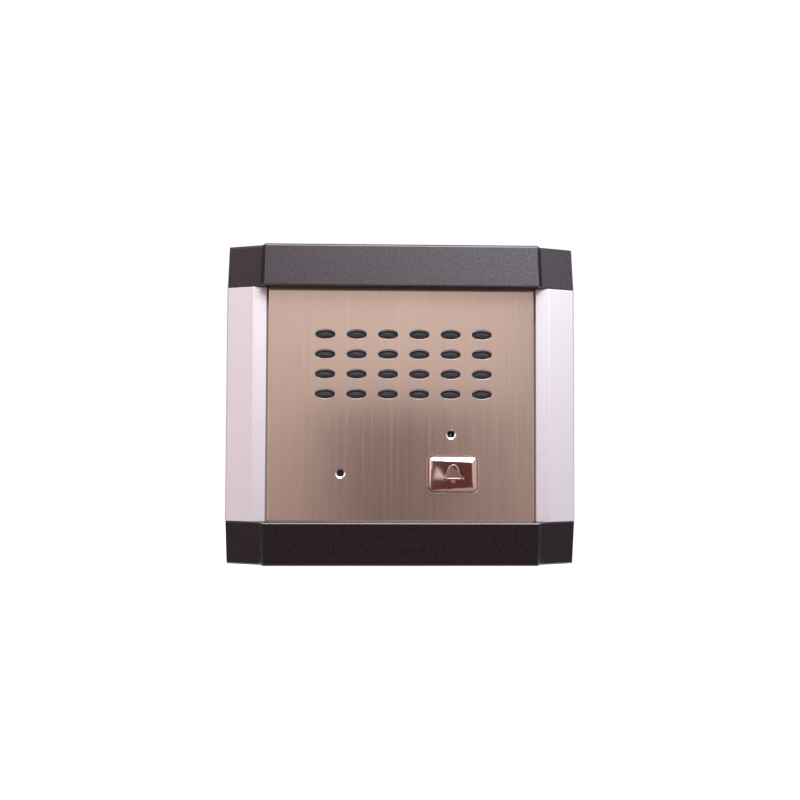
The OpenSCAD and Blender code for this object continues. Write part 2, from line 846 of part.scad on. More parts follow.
module button_cap() {
    face_w = button_w / 2 - button_bevel_w;
    face_h = button_h / 2 - button_bevel_w;
    ball = (face_w * face_w + face_h * face_h + button_crown * button_crown) / (2 * button_crown);
    color([0.8, 0.78, 0.76]) at_button() {
        difference() {
            union() {
                intersection() {
                    pad(button_w, button_h, button_corner_r, [lip_back, button_top + cut]);
                    bevelled_bar(button_w);
                    rotate(90) bevelled_bar(button_h);
                    translate([0, 0, button_top + button_crown - ball]) sphere(ball);
                }
                pad(lip_w, lip_h, button_corner_r, [lip_back, lip_front]);
            }
            pad(button_w - 2 * button_wall, button_h - 2 * button_wall, button_corner_r,
                [lip_back - cut, ceiling_z]);
        }
        post(stem_d / 2, [stem_back, ceiling_z + button_wall / 2]);
    }
}

module button_guide() {
    color([0.85, 0.84, 0.8]) stand() difference() {
        union() {
            translate([button_x, button_y, 0]) {
                pad(guide_w, guide_h, button_corner_r, [guide_floor, plate_back]);
                block([-ear_x, ear_x], [-ear_r, ear_r], [plate_back - ear_t, plate_back]);
            }
            for (p = guide_studs) translate(p) post(ear_r, [plate_back - ear_t, plate_back]);
        }
        translate([button_x, button_y, 0]) {
            pad(lip_w + 2 * guide_gap, lip_h + 2 * guide_gap, button_corner_r, [guide_top, plate_back + cut]);
            post(stem_d / 2 + guide_gap, [guide_floor - cut, guide_top + cut]);
        }
        for (p = guide_studs)
            translate(p) post(stud_d / 2 + fit_gap, [plate_back - ear_t - cut, plate_back + cut]);
    }
}

// Centre line of the spring at step i, and the tube's ring around it
function spring_turn(i) = 360 * i / spring_rings;
function spring_point(i) = [spring_d / 2 * cos(spring_turn(i)), spring_d / 2 * sin(spring_turn(i)),
    spring_low + (spring_high - spring_low) * i / spring_steps];
function spring_ring(i) = let (c = spring_point(i), a = spring_turn(i))
    [for (k = [0 : spring_sides - 1]) let (b = 360 * k / spring_sides, u = spring_wire / 2 * cos(b))
        c + [u * cos(a), u * sin(a), spring_wire / 2 * sin(b)]];
function spring_side(i, k) = let (a = i * spring_sides, b = a + spring_sides, m = (k + 1) % spring_sides)
    [[a + k, b + k, b + m], [a + k, b + m, a + m]];
spring_gap = min([for (i = [0 : spring_steps], j = [i + spring_rings / 2 : spring_steps])
    norm(spring_point(j) - spring_point(i))]) - spring_wire;
echo(spring_gap_to_itself = spring_gap);

module button_spring() {
    last = spring_steps * spring_sides;
    points = [for (i = [0 : spring_steps]) each spring_ring(i)];
    sides = [for (i = [0 : spring_steps - 1], k = [0 : spring_sides - 1]) each spring_side(i, k)];
    start = [for (k = [1 : spring_sides - 2]) [0, k, k + 1]];
    end = [for (k = [1 : spring_sides - 2]) [last, last + k + 1, last + k]];
    color([0.75, 0.75, 0.77]) at_button() polyhedron(points, concat(sides, start, end));
}

module switch_body() {
    rivet = [switch_w / 2 - rivet_inset - rivet_w, switch_w / 2 - rivet_inset];
    color([0.13, 0.13, 0.14]) at_button() difference() {
        block([-switch_w / 2, switch_w / 2], [-switch_w / 2, switch_w / 2], [board_front, switch_top]);
        post(plunger_d / 2 + plunger_gap, [board_front + switch_base, switch_top + cut]);
        for (a = [0 : 90 : 270]) rotate(a) block(rivet, rivet, [switch_top - rivet_t, switch_top + cut]);
    }
}

module switch_plunger() {
    color([0.75, 0.2, 0.15]) at_button() post(plunger_d / 2, [plunger_back, plunger_top]);
}

// Circuit board and what stands on it

module circuit_board() {
    color([0.1, 0.35, 0.18]) stand() difference() {
        block([-board_w / 2, board_w / 2], [board_y - board_h / 2, board_y + board_h / 2],
            [board_back, board_front]);
        for (p = board_holes) translate(p) post(stud_d / 2 + fit_gap, [board_back - cut, board_front + cut]);
    }
}

module board_spacers() {
    color([0.78, 0.66, 0.35]) stand() for (p = board_holes) translate(p) difference() {
        hex_post([board_front, plate_back]);
        post(stud_d / 2 + thread_gap, [board_front - cut, plate_back + cut]);
    }
}

module board_screws() {
    color([0.7, 0.7, 0.72]) stand() for (p = board_holes) translate(p) {
        post(stud_d / 2, [board_back, board_front + short_stud_l]);
        post(hex_af / 2, [board_back - board_head_h, board_back]);
    }
}

module mic_boot() {
    color([0.12, 0.12, 0.12]) stand() translate([mic_x, mic_y, 0]) difference() {
        post(boot_r, [board_front, plate_back]);
        post(mic_d / 2 + thread_gap, [board_front - cut, plate_back - boot_front]);
        post(pinhole_d / 2, [board_front, plate_back + cut]);
    }
}

module mic_capsule() {
    front = plate_back - boot_front;
    color([0.8, 0.8, 0.82]) stand() translate([mic_x, mic_y, 0]) post(mic_d / 2, [front - mic_l, front]);
}

module indicator_led() {
    color([0.8, 0.15, 0.1]) stand() translate([lamp_x, lamp_y, 0]) {
        post(led_d / 2, [led_back, plate_back - led_gap - led_d / 2]);
        translate([0, 0, plate_back - led_gap - led_d / 2]) sphere(led_d / 2);
        post(led_d / 2 + led_flange_w, [led_back, led_back + led_flange_t]);
    }
}

module led_holder() {
    color([0.1, 0.1, 0.1]) stand() translate([lamp_x, lamp_y, 0])
        tube(holder_r, lead_hole_r, [board_front, led_back]);
}

module at_poles() {
    for (i = [0 : pole_count - 1])
        translate([terminal_at[0] + (i - (pole_count - 1) / 2) * pole_pitch, terminal_at[1], 0]) children();
}

module terminal_block() {
    low = board_back - terminal_h;
    half = pole_count * pole_pitch / 2;
    color([0.2, 0.45, 0.3]) stand() difference() {
        block([terminal_at[0] - half, terminal_at[0] + half],
            [terminal_at[1] - terminal_d / 2, terminal_at[1] + terminal_d / 2], [low, board_back]);
        at_poles() post(terminal_screw_d / 2 + fit_gap, [low - cut, low + terminal_well]);
        at_poles() block([-terminal_wire / 2, terminal_wire / 2], [-terminal_d / 2 - cut, 0],
            [low + terminal_well - terminal_wire / 2, low + terminal_well + terminal_wire]);
    }
}

module terminal_screws() {
    high = board_back - terminal_h + terminal_well;
    color([0.75, 0.75, 0.77]) stand() at_poles() post(terminal_screw_d / 2, [high - terminal_screw_d, high]);
}

module audio_chip() {
    leg_y = chip_w / 2 + chip_leg;
    leg_x = [-chip_leg / 2, chip_leg / 2];
    leg_top = chip_h / 2 + chip_leg / 2;
    color([0.09, 0.09, 0.1]) stand() translate([chip_at[0], chip_at[1], board_front]) {
        block([-chip_l / 2, chip_l / 2], [-chip_w / 2, chip_w / 2], [chip_lift, chip_h]);
        for (i = [0 : chip_legs - 1])
            translate([(i - (chip_legs - 1) / 2) * chip_pitch, 0, 0]) {
                block(leg_x, [-leg_y, leg_y], [chip_h / 2, leg_top]);
                for (s = [-1, 1])
                    block(leg_x, [s * leg_y - chip_leg / 4, s * leg_y + chip_leg / 4], [0, leg_top]);
            }
    }
}

module capacitors() {
    color([0.15, 0.16, 0.3]) stand() {
        for (p = capacitor_at) translate(p) post(capacitor_d / 2, [board_front, board_front + capacitor_h]);
        translate(small_capacitor_at) post(small_capacitor_d / 2, [board_front, board_front + capacitor_h]);
    }
}

module speaker_socket() {
    color([0.9, 0.88, 0.82]) stand() translate([grille_x, socket_y, 0]) difference() {
        block([-socket_w / 2, socket_w / 2], [-socket_d / 2, socket_d / 2],
            [board_front, board_front + socket_h]);
        for (s = [-1, 1]) translate([s * lead_pitch / 2, 0, lead_z]) rotate([-90, 0, 0])
            post(lead_d / 2 + thread_gap, [0, socket_d]);
    }
}

// Two wires from the speaker's tags, each bent once on its way into the socket
module speaker_lead() {
    color([0.7, 0.1, 0.1]) stand() for (s = [-1, 1]) translate([grille_x + s * lead_pitch / 2, 0, 0]) {
        translate([0, lead_y, 0]) post(lead_d / 2, [lead_z + lead_bend, tag_z]);
        translate([0, lead_y - lead_bend, lead_z + lead_bend]) rotate([90, 0, 90])
            rotate_extrude(angle = -90) translate([lead_bend, 0]) circle(d = lead_d);
        translate([0, 0, lead_z]) rotate([-90, 0, 0]) post(lead_d / 2, [socket_y, lead_y - lead_bend]);
    }
}

rail_left();
rail_right();
top_cap();
bottom_cap();
cap_screws();
screw_plugs();
front_plate();
back_cover();
back_screws();
cable_grommet();
speaker_cloth();
speaker_gasket();
speaker_basket();
speaker_cone();
dust_cap();
voice_coil();
pole_plate();
speaker_magnet();
pole_yoke();
speaker_clamp();
stud_nuts();
button_cap();
button_guide();
button_spring();
switch_body();
switch_plunger();
circuit_board();
board_spacers();
board_screws();
mic_boot();
mic_capsule();
indicator_led();
led_holder();
terminal_block();
terminal_screws();
audio_chip();
capacitors();
speaker_socket();
speaker_lead();
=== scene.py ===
import json
import math

import bmesh
import bpy
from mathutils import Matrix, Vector


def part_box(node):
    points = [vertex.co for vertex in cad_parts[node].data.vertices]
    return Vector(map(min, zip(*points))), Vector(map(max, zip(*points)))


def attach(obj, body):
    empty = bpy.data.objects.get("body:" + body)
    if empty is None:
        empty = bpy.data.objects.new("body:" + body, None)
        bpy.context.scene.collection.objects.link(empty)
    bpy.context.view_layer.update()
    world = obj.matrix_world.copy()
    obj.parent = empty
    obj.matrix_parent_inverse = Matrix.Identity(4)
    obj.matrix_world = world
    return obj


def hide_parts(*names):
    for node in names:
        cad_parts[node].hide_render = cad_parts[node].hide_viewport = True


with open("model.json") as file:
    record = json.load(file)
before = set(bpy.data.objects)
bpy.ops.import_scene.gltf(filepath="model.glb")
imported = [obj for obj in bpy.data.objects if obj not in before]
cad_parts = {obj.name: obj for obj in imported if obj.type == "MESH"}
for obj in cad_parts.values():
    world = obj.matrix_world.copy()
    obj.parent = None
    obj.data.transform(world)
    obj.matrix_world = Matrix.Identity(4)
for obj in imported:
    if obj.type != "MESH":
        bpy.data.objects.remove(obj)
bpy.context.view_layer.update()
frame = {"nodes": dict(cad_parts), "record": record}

bl_info = {
    "name": "Intercom station",
    "version": (1, 0, 0),
    "blender": (4, 5, 0),
    "location": "View3D > Sidebar > Station",
    "description": "Dresses a wall intercom station: rails, caps, plate, grille cloth, push-button and back",
    "category": "Mesh",
}

MM = 0.001
FACE = -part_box("front_plate")[0].y  # distance of the plate's face from the wall
COVER_SHEET = -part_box("back_cover")[0].y  # thickness of the back cover

# Modelling
PLAY = 0.2 * MM  # room around a piece that slides into another
PAST = 1.0 * MM  # how far a cutter stands past what it cuts
NEAR = 0.01 * MM  # reach within which a point is at a place
MERGE = 1e-7  # reach within which two points are one

# Rails
CHAMFER_PITCH = 1.8  # drop of the outer chamfer over its width
PORT_SLIT = 1.0 * MM  # slit of a screw port
RAIL_FLANGE = 1.8 * MM  # thickness of the flange that carries the back cover
FLANGE_MARGIN = 3.0 * MM  # from a back screw's middle to the flange's edge
SCREW_BORE = 6.0 * MM  # how far from the wall a back screw's bore ends

# Back
SCREW_HEAD = 2.8 * MM  # radius
SCREW_SHANK = 1.5 * MM  # radius
SCREW_HOLE = 1.55 * MM  # radius
SINK_PLAY = 0.05 * MM  # room around a screw's head
CROSS_ARM = 1.5 * MM  # half the length of a cross recess
CROSS_HALF = 0.3 * MM  # half the width of its arms
CROSS_DEPTH = 0.8 * MM
SCREW_BREAK = 0.08 * MM
COVER_CORNER = 2.0 * MM
COVER_BREAK = 0.15 * MM
CABLE_HOLE = 6.2 * MM  # radius
CABLE_BORE = 3.5 * MM  # radius
GROMMET_NECK = 6.0 * MM  # radius
GROMMET_LIP = 1.8 * MM  # thickness of the lip inside the cover
GROMMET_ROUND = 0.5 * MM

# Caps and their plugs
CAP_HOLLOW = 10.0 * MM  # depth of the hollow before its floor is leaned
CAP_FRONT = 20.0 * MM  # all edges of the front are farther from the wall
CAP_FLOOR = 2.4 * MM
PLUG_LIP = 4.05 * MM  # radius
PLUG_STEM = 3.15 * MM  # radius
PLUG_BREAK = 0.15 * MM
DISH_RIM = 0.9 * MM  # width of the rim around a plug's dished top
DISH_DEPTH = 0.18 * MM
DISH_FLOOR = 0.94  # width of the dish's floor over that of its mouth
WELL_PLAY = 0.05 * MM  # room around a plug
WELL_DEPTH = 3.0 * MM
CAP_SCREW_HOLE = 1.8 * MM  # radius
TONGUE_WIDTH = 4.5 * MM
TONGUE_FRONT = 20.9 * MM  # distances from the wall
TONGUE_BACK = 16.4 * MM
TONGUE_LENGTH = 6.0 * MM  # inside the rail
TONGUE_ROOT = 1.2 * MM  # inside the cap
TONGUE_BREAK = 0.6 * MM

# Front plate
RIM_STEPS = 6  # facets of a rolled rim
STUD_REACH = 29.5 * MM  # from the grille's middle to the speaker's studs
STUD_TURN = math.radians(30)  # their angle over the level
NUT_REACH = 3.175 * MM  # half the width of a stud nut
BOARD_MARGIN = 4.0 * MM  # from the circuit board's edges to its studs
STUD_RADIUS = 1.5 * MM
STUD_ROOT = 0.4 * MM  # inside the plate
STUD_LONG = 7.0 * MM  # for the speaker and the push-button
STUD_SHORT = 5.0 * MM  # for the circuit board
STUD_BREAK = 0.3 * MM

# Grille cloth
SPEAKER_RIM = 25.0 * MM  # radius
CLOTH_HALF = 15.3 * MM  # half the height of the cloth beside the speaker
CLOTH_TRIM = 0.02 * MM  # by which its bows are inside the speaker's rim
CLOTH_GAP = 0.05 * MM  # behind the cloth, within its solid
CLOTH_SHEET = 0.3 * MM
SWELL_START = 0.2 * MM  # start and foot of a swell, from the back of the cloth's solid
SWELL_FOOT = 0.35 * MM
SWELL_RINGS = (0.92, 0.8, 0.64, 0.45, 0.22)  # widths of a swell's rings over that of its foot

# Push-button
FACE_GRID = (28, 20)
FALL_SHARE = 0.8  # share of the canted face's fall by which its middle is lower
FACE_BREAK = 0.1 * MM
BLANK_FRONT = 2.0 * MM  # how far the blank of the round corners stands past the face
BLANK_LENGTH = 12.0 * MM
BUTTON_FLANGE = 1.4 * MM  # thickness of the lip behind the plate
FLANGE_BREAK = 0.2 * MM
STEM_RADIUS = 2.2 * MM
STEM_START = 1.0 * MM  # behind the lip's front
STEM_BREAK = 0.3 * MM
MARK_UP = 0.2 * MM  # of the bell over the face's middle
MARK_FOOT = 0.1 * MM  # of the bell's foot before it, at the middle
MARK_RISE = 0.15 * MM  # over the crown
MARK_BREAK = 0.1 * MM
# Right half of the bell and its clapper, in eighths of the mark's width about its middle
BELL_HALF = ((0.0, 3.3), (0.75, 3.15), (1.4, 2.75), (1.85, 2.1), (2.1, 1.2), (2.3, 0.2), (2.7, -0.7),
             (3.3, -1.35), (4.0, -1.75), (4.0, -2.35))
BELL_LINE = 0.62
BELL_DISH = 0.7  # depth of the bell's inside over its rise
CLAPPER_RADIUS = 0.75
CLAPPER_DOWN = 2.95
CLAPPER_RISE = 0.9  # over that of the bell

# Studio
WHITE, BLACK = (1, 1, 1), (0, 0, 0)
DULL, DARK = (0.85, 0.87, 0.87), (0.48, 0.46, 0.44)
# Colours around the part: up from straight down, and across from the left, both between 0 and 1
WALLS_UP = ((0.03, (0.60, 0.50, 0.46)), (0.10, (0.24, 0.16, 0.15)), (0.25, (0.17, 0.09, 0.10)),
            (0.40, (0.32, 0.24, 0.23)), (0.46, (0.55, 0.47, 0.45)), (0.50, (0.63, 0.58, 0.57)),
            (0.56, (0.83, 0.80, 0.79)), (0.65, (0.79, 0.77, 0.77)), (0.80, (0.58, 0.50, 0.58)))
WALLS_ACROSS = ((0.34, WHITE), (0.37, DULL), (0.41, DULL), (0.44, WHITE), (0.53, WHITE),
                (0.58, (0.86, 0.87, 0.86)), (0.62, DARK), (0.68, DARK), (0.74, WHITE))
SIDES_ACROSS = ((0.20, (0.70, 0.57, 0.59)), (0.35, BLACK), (0.65, BLACK), (0.78, (0.46, 0.42, 0.55)),
                (0.89, (0.56, 0.54, 0.68)), (0.955, BLACK))
UNLIT_ACROSS = ((0.45, BLACK), (0.49, WHITE), (0.525, WHITE), (0.60, BLACK))
UNLIT_UP = ((0.32, BLACK), (0.40, WHITE), (0.512, WHITE), (0.524, BLACK))
UNLIT_COLOURS = ((0.445, (0.115, 0.050, 0.044)), (0.458, (0.125, 0.097, 0.104)))
BEHIND = ((0.45, BLACK), (0.60, WHITE))
BEHIND_COLOUR = (0.34, 0.34, 0.35)
# Edges of the pane that the push-button mirrors: slant across and up, where it starts and where it is full
PANE_EDGES = ((0.0, 1.0, -0.140, -0.131), (1.0, -0.21, -0.0005, 0.0035), (-1.0, -0.73, 0.100, 0.104))
PANE_COLOUR = (0.80, 0.83, 0.88)
# Lamps: name, place and target in metres, size, power and tint
LAMPS = (("key", (0.23, -0.55, 0.50), (0, -0.03, 0.04), (0.60, 0.30), 4.8, (0.93, 0.92, 0.96)),
         ("cool", (0.32, -0.46, 0.54), (0.03, -0.03, 0.05), (0.20, 0.20), 1.8, (0.45, 0.80, 1.0)),
         ("overhead", (0.04, -0.21, 0.58), (0, -0.04, 0), (0.50, 0.34), 4.0, WHITE))
FLOOR_SIZE, FLOOR_PLACE = 3.0, (0, 1.42, -0.30)
FLOOR_GLOW = 0.70
CAMERA_PLACE = (-10.377 * MM, -386.670 * MM, -12.887 * MM)
CAMERA_TURN = (1.61166, -0.00365, -0.02804)
CAMERA_LENS, CAMERA_SENSOR = 43.222, 36


# Sizes and colours that a user would change

def length(name, description, default):
    """A length property, given in metres."""
    return bpy.props.FloatProperty(name=name, description=description, default=default, precision=5,
                                   subtype="DISTANCE", unit="LENGTH")


def colour(name, description, default):
    """A colour property, linear red, green and blue."""
    return bpy.props.FloatVectorProperty(name=name, description=description, default=default, size=3,
                                         min=0, max=1, subtype="COLOR")


class StationSizes(bpy.types.PropertyGroup):
    """Sizes of the pieces that are modelled here"""
    rail_facet: length("Rail facet", "Width of a rail's inner facet", 5.5 * MM)
    rail_lip: length("Rail lip", "Rise of a rail's inner edge over the plate", 1.4 * MM)
    rail_ridge: length("Rail ridge", "Rise of the ridge between a rail's facets", 2.1 * MM)
    rail_drop: length("Rail drop", "Drop of a rail's outer edge below the plate", 1.9 * MM)
    rail_chamfer: length("Rail chamfer", "Width of the steep chamfer along a rail's outer edge", 0.45 * MM)
    rail_wall: length("Rail wall", "Wall thickness of a rail", 1.6 * MM)
    # The seam's darkness is painted shade of the gap under a rail's lip.
    seam: length("Seam", "Width of the dark seam between the plate and a rail", 0.55 * MM)
    seam_depth: length("Seam depth", "Depth of that seam in the plate", 0.9 * MM)
    seam_fall: length("Seam fall", "Width of the plate's margin that falls away to the seam", 0.85 * MM)
    seam_drop: length("Seam drop", "Drop of that margin", 0.26 * MM)
    rail_groove: length("Rail groove", "Depth of the groove for the plate's edge", 3.2 * MM)
    port_radius: length("Port radius", "Outer radius of a rail's screw port", 3.0 * MM)
    port_bore: length("Port bore", "Bore radius of a rail's screw port", 1.45 * MM)
    port_depth: length("Port depth", "Distance of the screw ports from the wall", 13.0 * MM)
    cap_raise: length("Cap raise", "Rise of a cap's middle over the plate", 6.7 * MM)
    cap_reach: length("Cap reach", "Reach of the raised middle past the rails' inner edges", 0.9 * MM)
    cap_flank: length("Cap flank", "Width of the sloped flank of the raised middle", 1.8 * MM)
    cap_lean: length("Cap lean", "How far a cap's front leans back", 4.0 * MM)
    cap_wall: length("Cap wall", "Wall thickness of a cap", 2.2 * MM)
    cap_edge: length("Cap edge", "Rounding of a cap's outer edge", 1.0 * MM)
    cap_chamfer: length("Cap chamfer", "Chamfer of a cap's edge along the plate", 0.4 * MM)
    cap_break: length("Cap break", "Chamfer of a cap's other edges", 0.3 * MM)
    plug_lip: length("Plug lip", "Thickness of a screw plug's lip", 0.8 * MM)
    plate_sheet: length("Plate sheet", "Thickness of the front plate", 1.2 * MM)
    slot_length: length("Slot length", "Length of a grille slot", 7.4 * MM)
    slot_height: length("Slot height", "Height of a grille slot", 3.2 * MM)
    slot_step_x: length("Slot step across", "Spacing of the slots across", 11.65 * MM)
    slot_step_z: length("Slot step up", "Spacing of the slots up", 7.4 * MM)
    slot_columns: bpy.props.IntProperty(name="Slot columns", description="Slots in a row", default=6, min=1)
    slot_rows: bpy.props.IntProperty(name="Slot rows", description="Rows of slots", default=4, min=1)
    rim_round: length("Rim round", "Rounding of the grille slots' rims", 0.2 * MM)
    rim_roll: length("Rim roll", "Further growth of a slot towards its upper rim", 0.45 * MM)
    cut_out_rim: length("Cut-out rim", "Rounding of the push-button cut-out's rim", 0.45 * MM)
    swell: length("Swell", "Rise of the grille cloth in a slot", 1.05 * MM)
    swell_gap: length("Swell gap", "Gap between that rise and the slot's wall", 0.1 * MM)
    pinhole: length("Pinhole", "Radius of the two small holes", 1.35 * MM)
    pinhole_sink: length("Pinhole sink", "Radius of their countersinks", 1.9 * MM)
    sink_slope: bpy.props.FloatProperty(name="Sink slope", description="Depth over width of the countersinks",
                                        default=0.72, min=0.2, max=2)
    button_gap: length("Button gap", "Gap around the push-button", 0.55 * MM)
    button_corner: length("Button corner", "Corner radius of the push-button", 1.6 * MM)
    button_bevel: length("Button bevel", "Width of the push-button's bevel", 1.25 * MM)
    button_bevel_depth: length("Bevel depth", "Depth of the push-button's bevel", 0.95 * MM)
    button_shares: bpy.props.FloatVectorProperty(
        name="Bevel shares", description="Shares of the bevel on the right, left, top and bottom", size=4,
        default=(0.95, 0.62, 0.95, 0.72), min=0, max=2)
    button_leans: bpy.props.FloatVectorProperty(
        name="Bevel leans", description="Shares of the bevel's slope on the same sides", size=4,
        default=(1.0, 1.0, 1.0, 0.76), min=0, max=2)
    button_crown: length("Button crown", "Rise of the push-button's crowned face", 0.06 * MM)
    button_cant: bpy.props.FloatVectorProperty(
        name="Button cant", description="Turn of the push-button's face down and to the left", size=2,
        default=(math.radians(2.6), math.radians(2.0)), subtype="EULER", unit="ROTATION")
    button_lip: length("Button lip", "Width of the lip behind the plate", 1.6 * MM)
    mark_width: length("Mark width", "Width of the raised bell mark", 8.0 * MM)
    weave: length("Weave", "Thread spacing of the grille cloth", 0.42 * MM)
    edge_break: length("Edge break", "Rounding of the rails' edges", 0.25 * MM)


class StationColours(bpy.types.PropertyGroup):
    """Colours of the finishes"""
    rail: colour("Rails", "Satin anodised aluminium", (0.715, 0.67, 0.68))
    plate: colour("Plate", "Brushed stainless steel", (0.70, 0.52, 0.435))
    cap: colour("Caps", "Grained black plastic", (0.008, 0.0045, 0.0055))
    chrome: colour("Chrome", "Bright plating of the push-button", (0.90, 0.64, 0.57))
    cloth: colour("Cloth", "Dark acoustic cloth", (0.045, 0.042, 0.046))
    sheet: colour("Sheet", "Galvanised sheet of the back", (0.56, 0.57, 0.59))
    board: colour("Board", "Green mask of the circuit board", (0.010, 0.075, 0.032))
    rubber: colour("Rubber", "Black rubber", (0.018, 0.018, 0.019))
    lamp: colour("Lamp", "Red lens of the lamp, unlit", (0.020, 0.004, 0.004))
    floor: colour("Floor", "Pale studio floor", (0.86, 0.86, 0.86))


# Modelling by hand

def clear_selection():
    """Object mode with nothing selected."""
    if bpy.context.object and bpy.context.object.mode != "OBJECT":
        bpy.ops.object.mode_set(mode="OBJECT")
    bpy.ops.object.select_all(action="DESELECT")


def hold(obj):
    """Makes one object the selected and active one."""
    clear_selection()
    obj.select_set(True)
    bpy.context.view_layer.objects.active = obj


def named(name):
    """Names the object that was just added, and puts its place into its mesh."""
    obj = bpy.context.active_object
    obj.name = obj.data.name = name
    bpy.ops.object.transform_apply(location=True, rotation=True, scale=True)
    return obj


def work_on(obj):
    """Opens an object's mesh, with nothing selected in it."""
    hold(obj)
    bpy.ops.object.mode_set(mode="EDIT")
    bpy.ops.mesh.select_mode(type="VERT")
    bpy.ops.mesh.select_all(action="DESELECT")


def done():
    """Closes the open mesh."""
    bpy.ops.object.mode_set(mode="OBJECT")


def turn_out():
    """Merges doubles, turns all faces of the open mesh outwards and closes it."""
    bpy.ops.mesh.select_all(action="SELECT")
    bpy.ops.mesh.remove_doubles(threshold=MERGE)
    bpy.ops.mesh.normals_make_consistent(inside=False)
    done()


def clean(obj):
    """Takes out points and faces of no size, as a cut or a bevel can leave them."""
    work_on(obj)
    bpy.ops.mesh.select_all(action="SELECT")
    bpy.ops.mesh.dissolve_degenerate(threshold=10 * MERGE)
    turn_out()


def pick(obj, kind, test):
    """Selects points, edges or faces of the open mesh whose place passes a test."""
    bpy.ops.mesh.select_mode(type=kind)
    bpy.ops.mesh.select_all(action="DESELECT")
    mesh = bmesh.from_edit_mesh(obj.data)
    if kind == "VERT":
        chosen = [v for v in mesh.verts if test(v.co)]
    elif kind == "EDGE":
        chosen = [e for e in mesh.edges if test(*(v.co for v in e.verts))]
    else:
        chosen = [f for f in mesh.faces if test(f.calc_center_median(), f.normal)]
    for item in chosen:
        item.select_set(True)
    mesh.select_flush_mode()
    bmesh.update_edit_mesh(obj.data)
    if not chosen:
        raise RuntimeError(f"{obj.name}: nothing to shape there")


def at(x, y, z, reach=NEAR):
    """A test for points at a place."""
    return lambda p: max(abs(p.x - x), abs(p.y - y), abs(p.z - z)) < reach


def shift(x=0.0, y=0.0, z=0.0):
    """Moves what is selected."""
    bpy.ops.transform.translate(value=(x, y, z))


def stretch(scale, centre):
    """Scales what is selected, about a point."""
    bpy.ops.transform.resize(value=scale, center_override=centre)


def push_out(x=0.0, y=0.0, z=0.0):
    """Extrudes what is selected."""
    bpy.ops.mesh.extrude_region_move(TRANSFORM_OT_translate={"value": (x, y, z)})


def split(place, normal, **settings):
    """Cuts the whole open mesh through along a plane."""
    bpy.ops.mesh.select_all(action="SELECT")
    bpy.ops.mesh.bisect(plane_co=place, plane_no=normal, threshold=MERGE, **settings)


def block(name, low, high):
    """A box between two corners."""
    low, high = Vector(low), Vector(high)
    clear_selection()
    bpy.ops.mesh.primitive_cube_add(size=1, location=(low + high) / 2, scale=high - low)
    return named(name)


def post(name, radius, start, end, sides=40):
    """A round post from one point to another."""
    start, end = Vector(start), Vector(end)
    axis = end - start
    clear_selection()
    bpy.ops.mesh.primitive_cylinder_add(vertices=sides, radius=radius, depth=axis.length,
                                        location=(start + end) / 2,
                                        rotation=axis.to_track_quat("Z", "Y").to_euler())
    return named(name)


def trace(name, points):
    """Draws a closed outline point by point, fills it, and leaves its face selected and open."""
    points = [Vector(p) for p in points]
    clear_selection()
    bpy.ops.mesh.primitive_plane_add(size=MM)
    obj = named(name)
    work_on(obj)
    bpy.ops.mesh.select_all(action="SELECT")
    bpy.ops.mesh.merge(type="CENTER")
    shift(*points[0])
    for here, there in zip(points, points[1:] + points[:1]):
        bpy.ops.mesh.extrude_vertices_move(TRANSFORM_OT_translate={"value": there - here})
    bpy.ops.mesh.select_all(action="SELECT")
    bpy.ops.mesh.remove_doubles(threshold=MERGE)
    bpy.ops.mesh.edge_face_add()
    return obj


def drawn(name, points, x=0.0, y=0.0, z=0.0):
    """A traced outline drawn out into a solid."""
    obj = trace(name, points)
    push_out(x, y, z)
    turn_out()
    return obj


def mirrored(obj, name, scale):
    """A mirror image with its own mesh."""
    hold(obj)
    bpy.ops.object.duplicate(linked=False)
    bpy.context.active_object.scale = scale
    twin = named(name)
    work_on(twin)
    turn_out()
    return twin


def join(*objs):
    """Joins pieces into the first one."""
    hold(objs[0])
    for obj in objs[1:]:
        obj.select_set(True)
    bpy.ops.object.join()
    return objs[0]


def in_corners(obj):
    """Joins a piece of the upper right corner with its mirror images in the other three."""
    return join(obj, *[mirrored(obj, "twin", scale) for scale in ((-1, 1, 1), (1, 1, -1), (-1, 1, -1))])


def modify(obj, kind, **settings):
    """Adds a modifier and applies it."""
    tool = obj.modifiers.new(kind.title(), kind)
    for key, value in settings.items():
        setattr(tool, key, value)
    hold(obj)
    bpy.ops.object.modifier_apply(modifier=tool.name)


def carve(obj, tool, operation="DIFFERENCE"):
    """Cuts a tool's shape out of a piece, keeps what both share, or adds it."""
    modify(obj, "BOOLEAN", object=tool, operation=operation, solver="EXACT")
    bpy.data.objects.remove(tool, do_unlink=True)
    if not obj.data.polygons:
        raise RuntimeError(f"{obj.name}: the cut left nothing")


def soften(obj, width, steps=2, angle=30, skin=-1):
    """Rounds a piece's sharp edges, which may take another of its finishes."""
    modify(obj, "BEVEL", width=width, segments=steps, limit_method="ANGLE", angle_limit=math.radians(angle),
           use_clamp_overlap=True, material=skin)


def wear(obj, *slots):
    """Gives a piece its finishes."""
    for slot in slots:
        obj.data.materials.append(finish(slot))


def settle(obj, body, slot, *nodes):
    """Ends a piece: smooth faces, its finish, the body it rides on and the nodes it stands for."""
    clean(obj)
    hold(obj)
    bpy.ops.object.shade_smooth_by_angle(angle=math.radians(32))
    modify(obj, "WEIGHTED_NORMAL", weight=100, keep_sharp=True)
    if not obj.data.materials:
        wear(obj, slot)
    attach(obj, body)
    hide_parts(*nodes)
    clear_selection()


# Places and outlines

def out(x, depth, z):
    """A point by its distance from the wall."""
    return Vector((x, -depth, z))


def facing(outline, x, depth, z):
    """Points of an outline that faces the front, about a place."""
    return [out(x + u, depth, z + v) for u, v in outline]


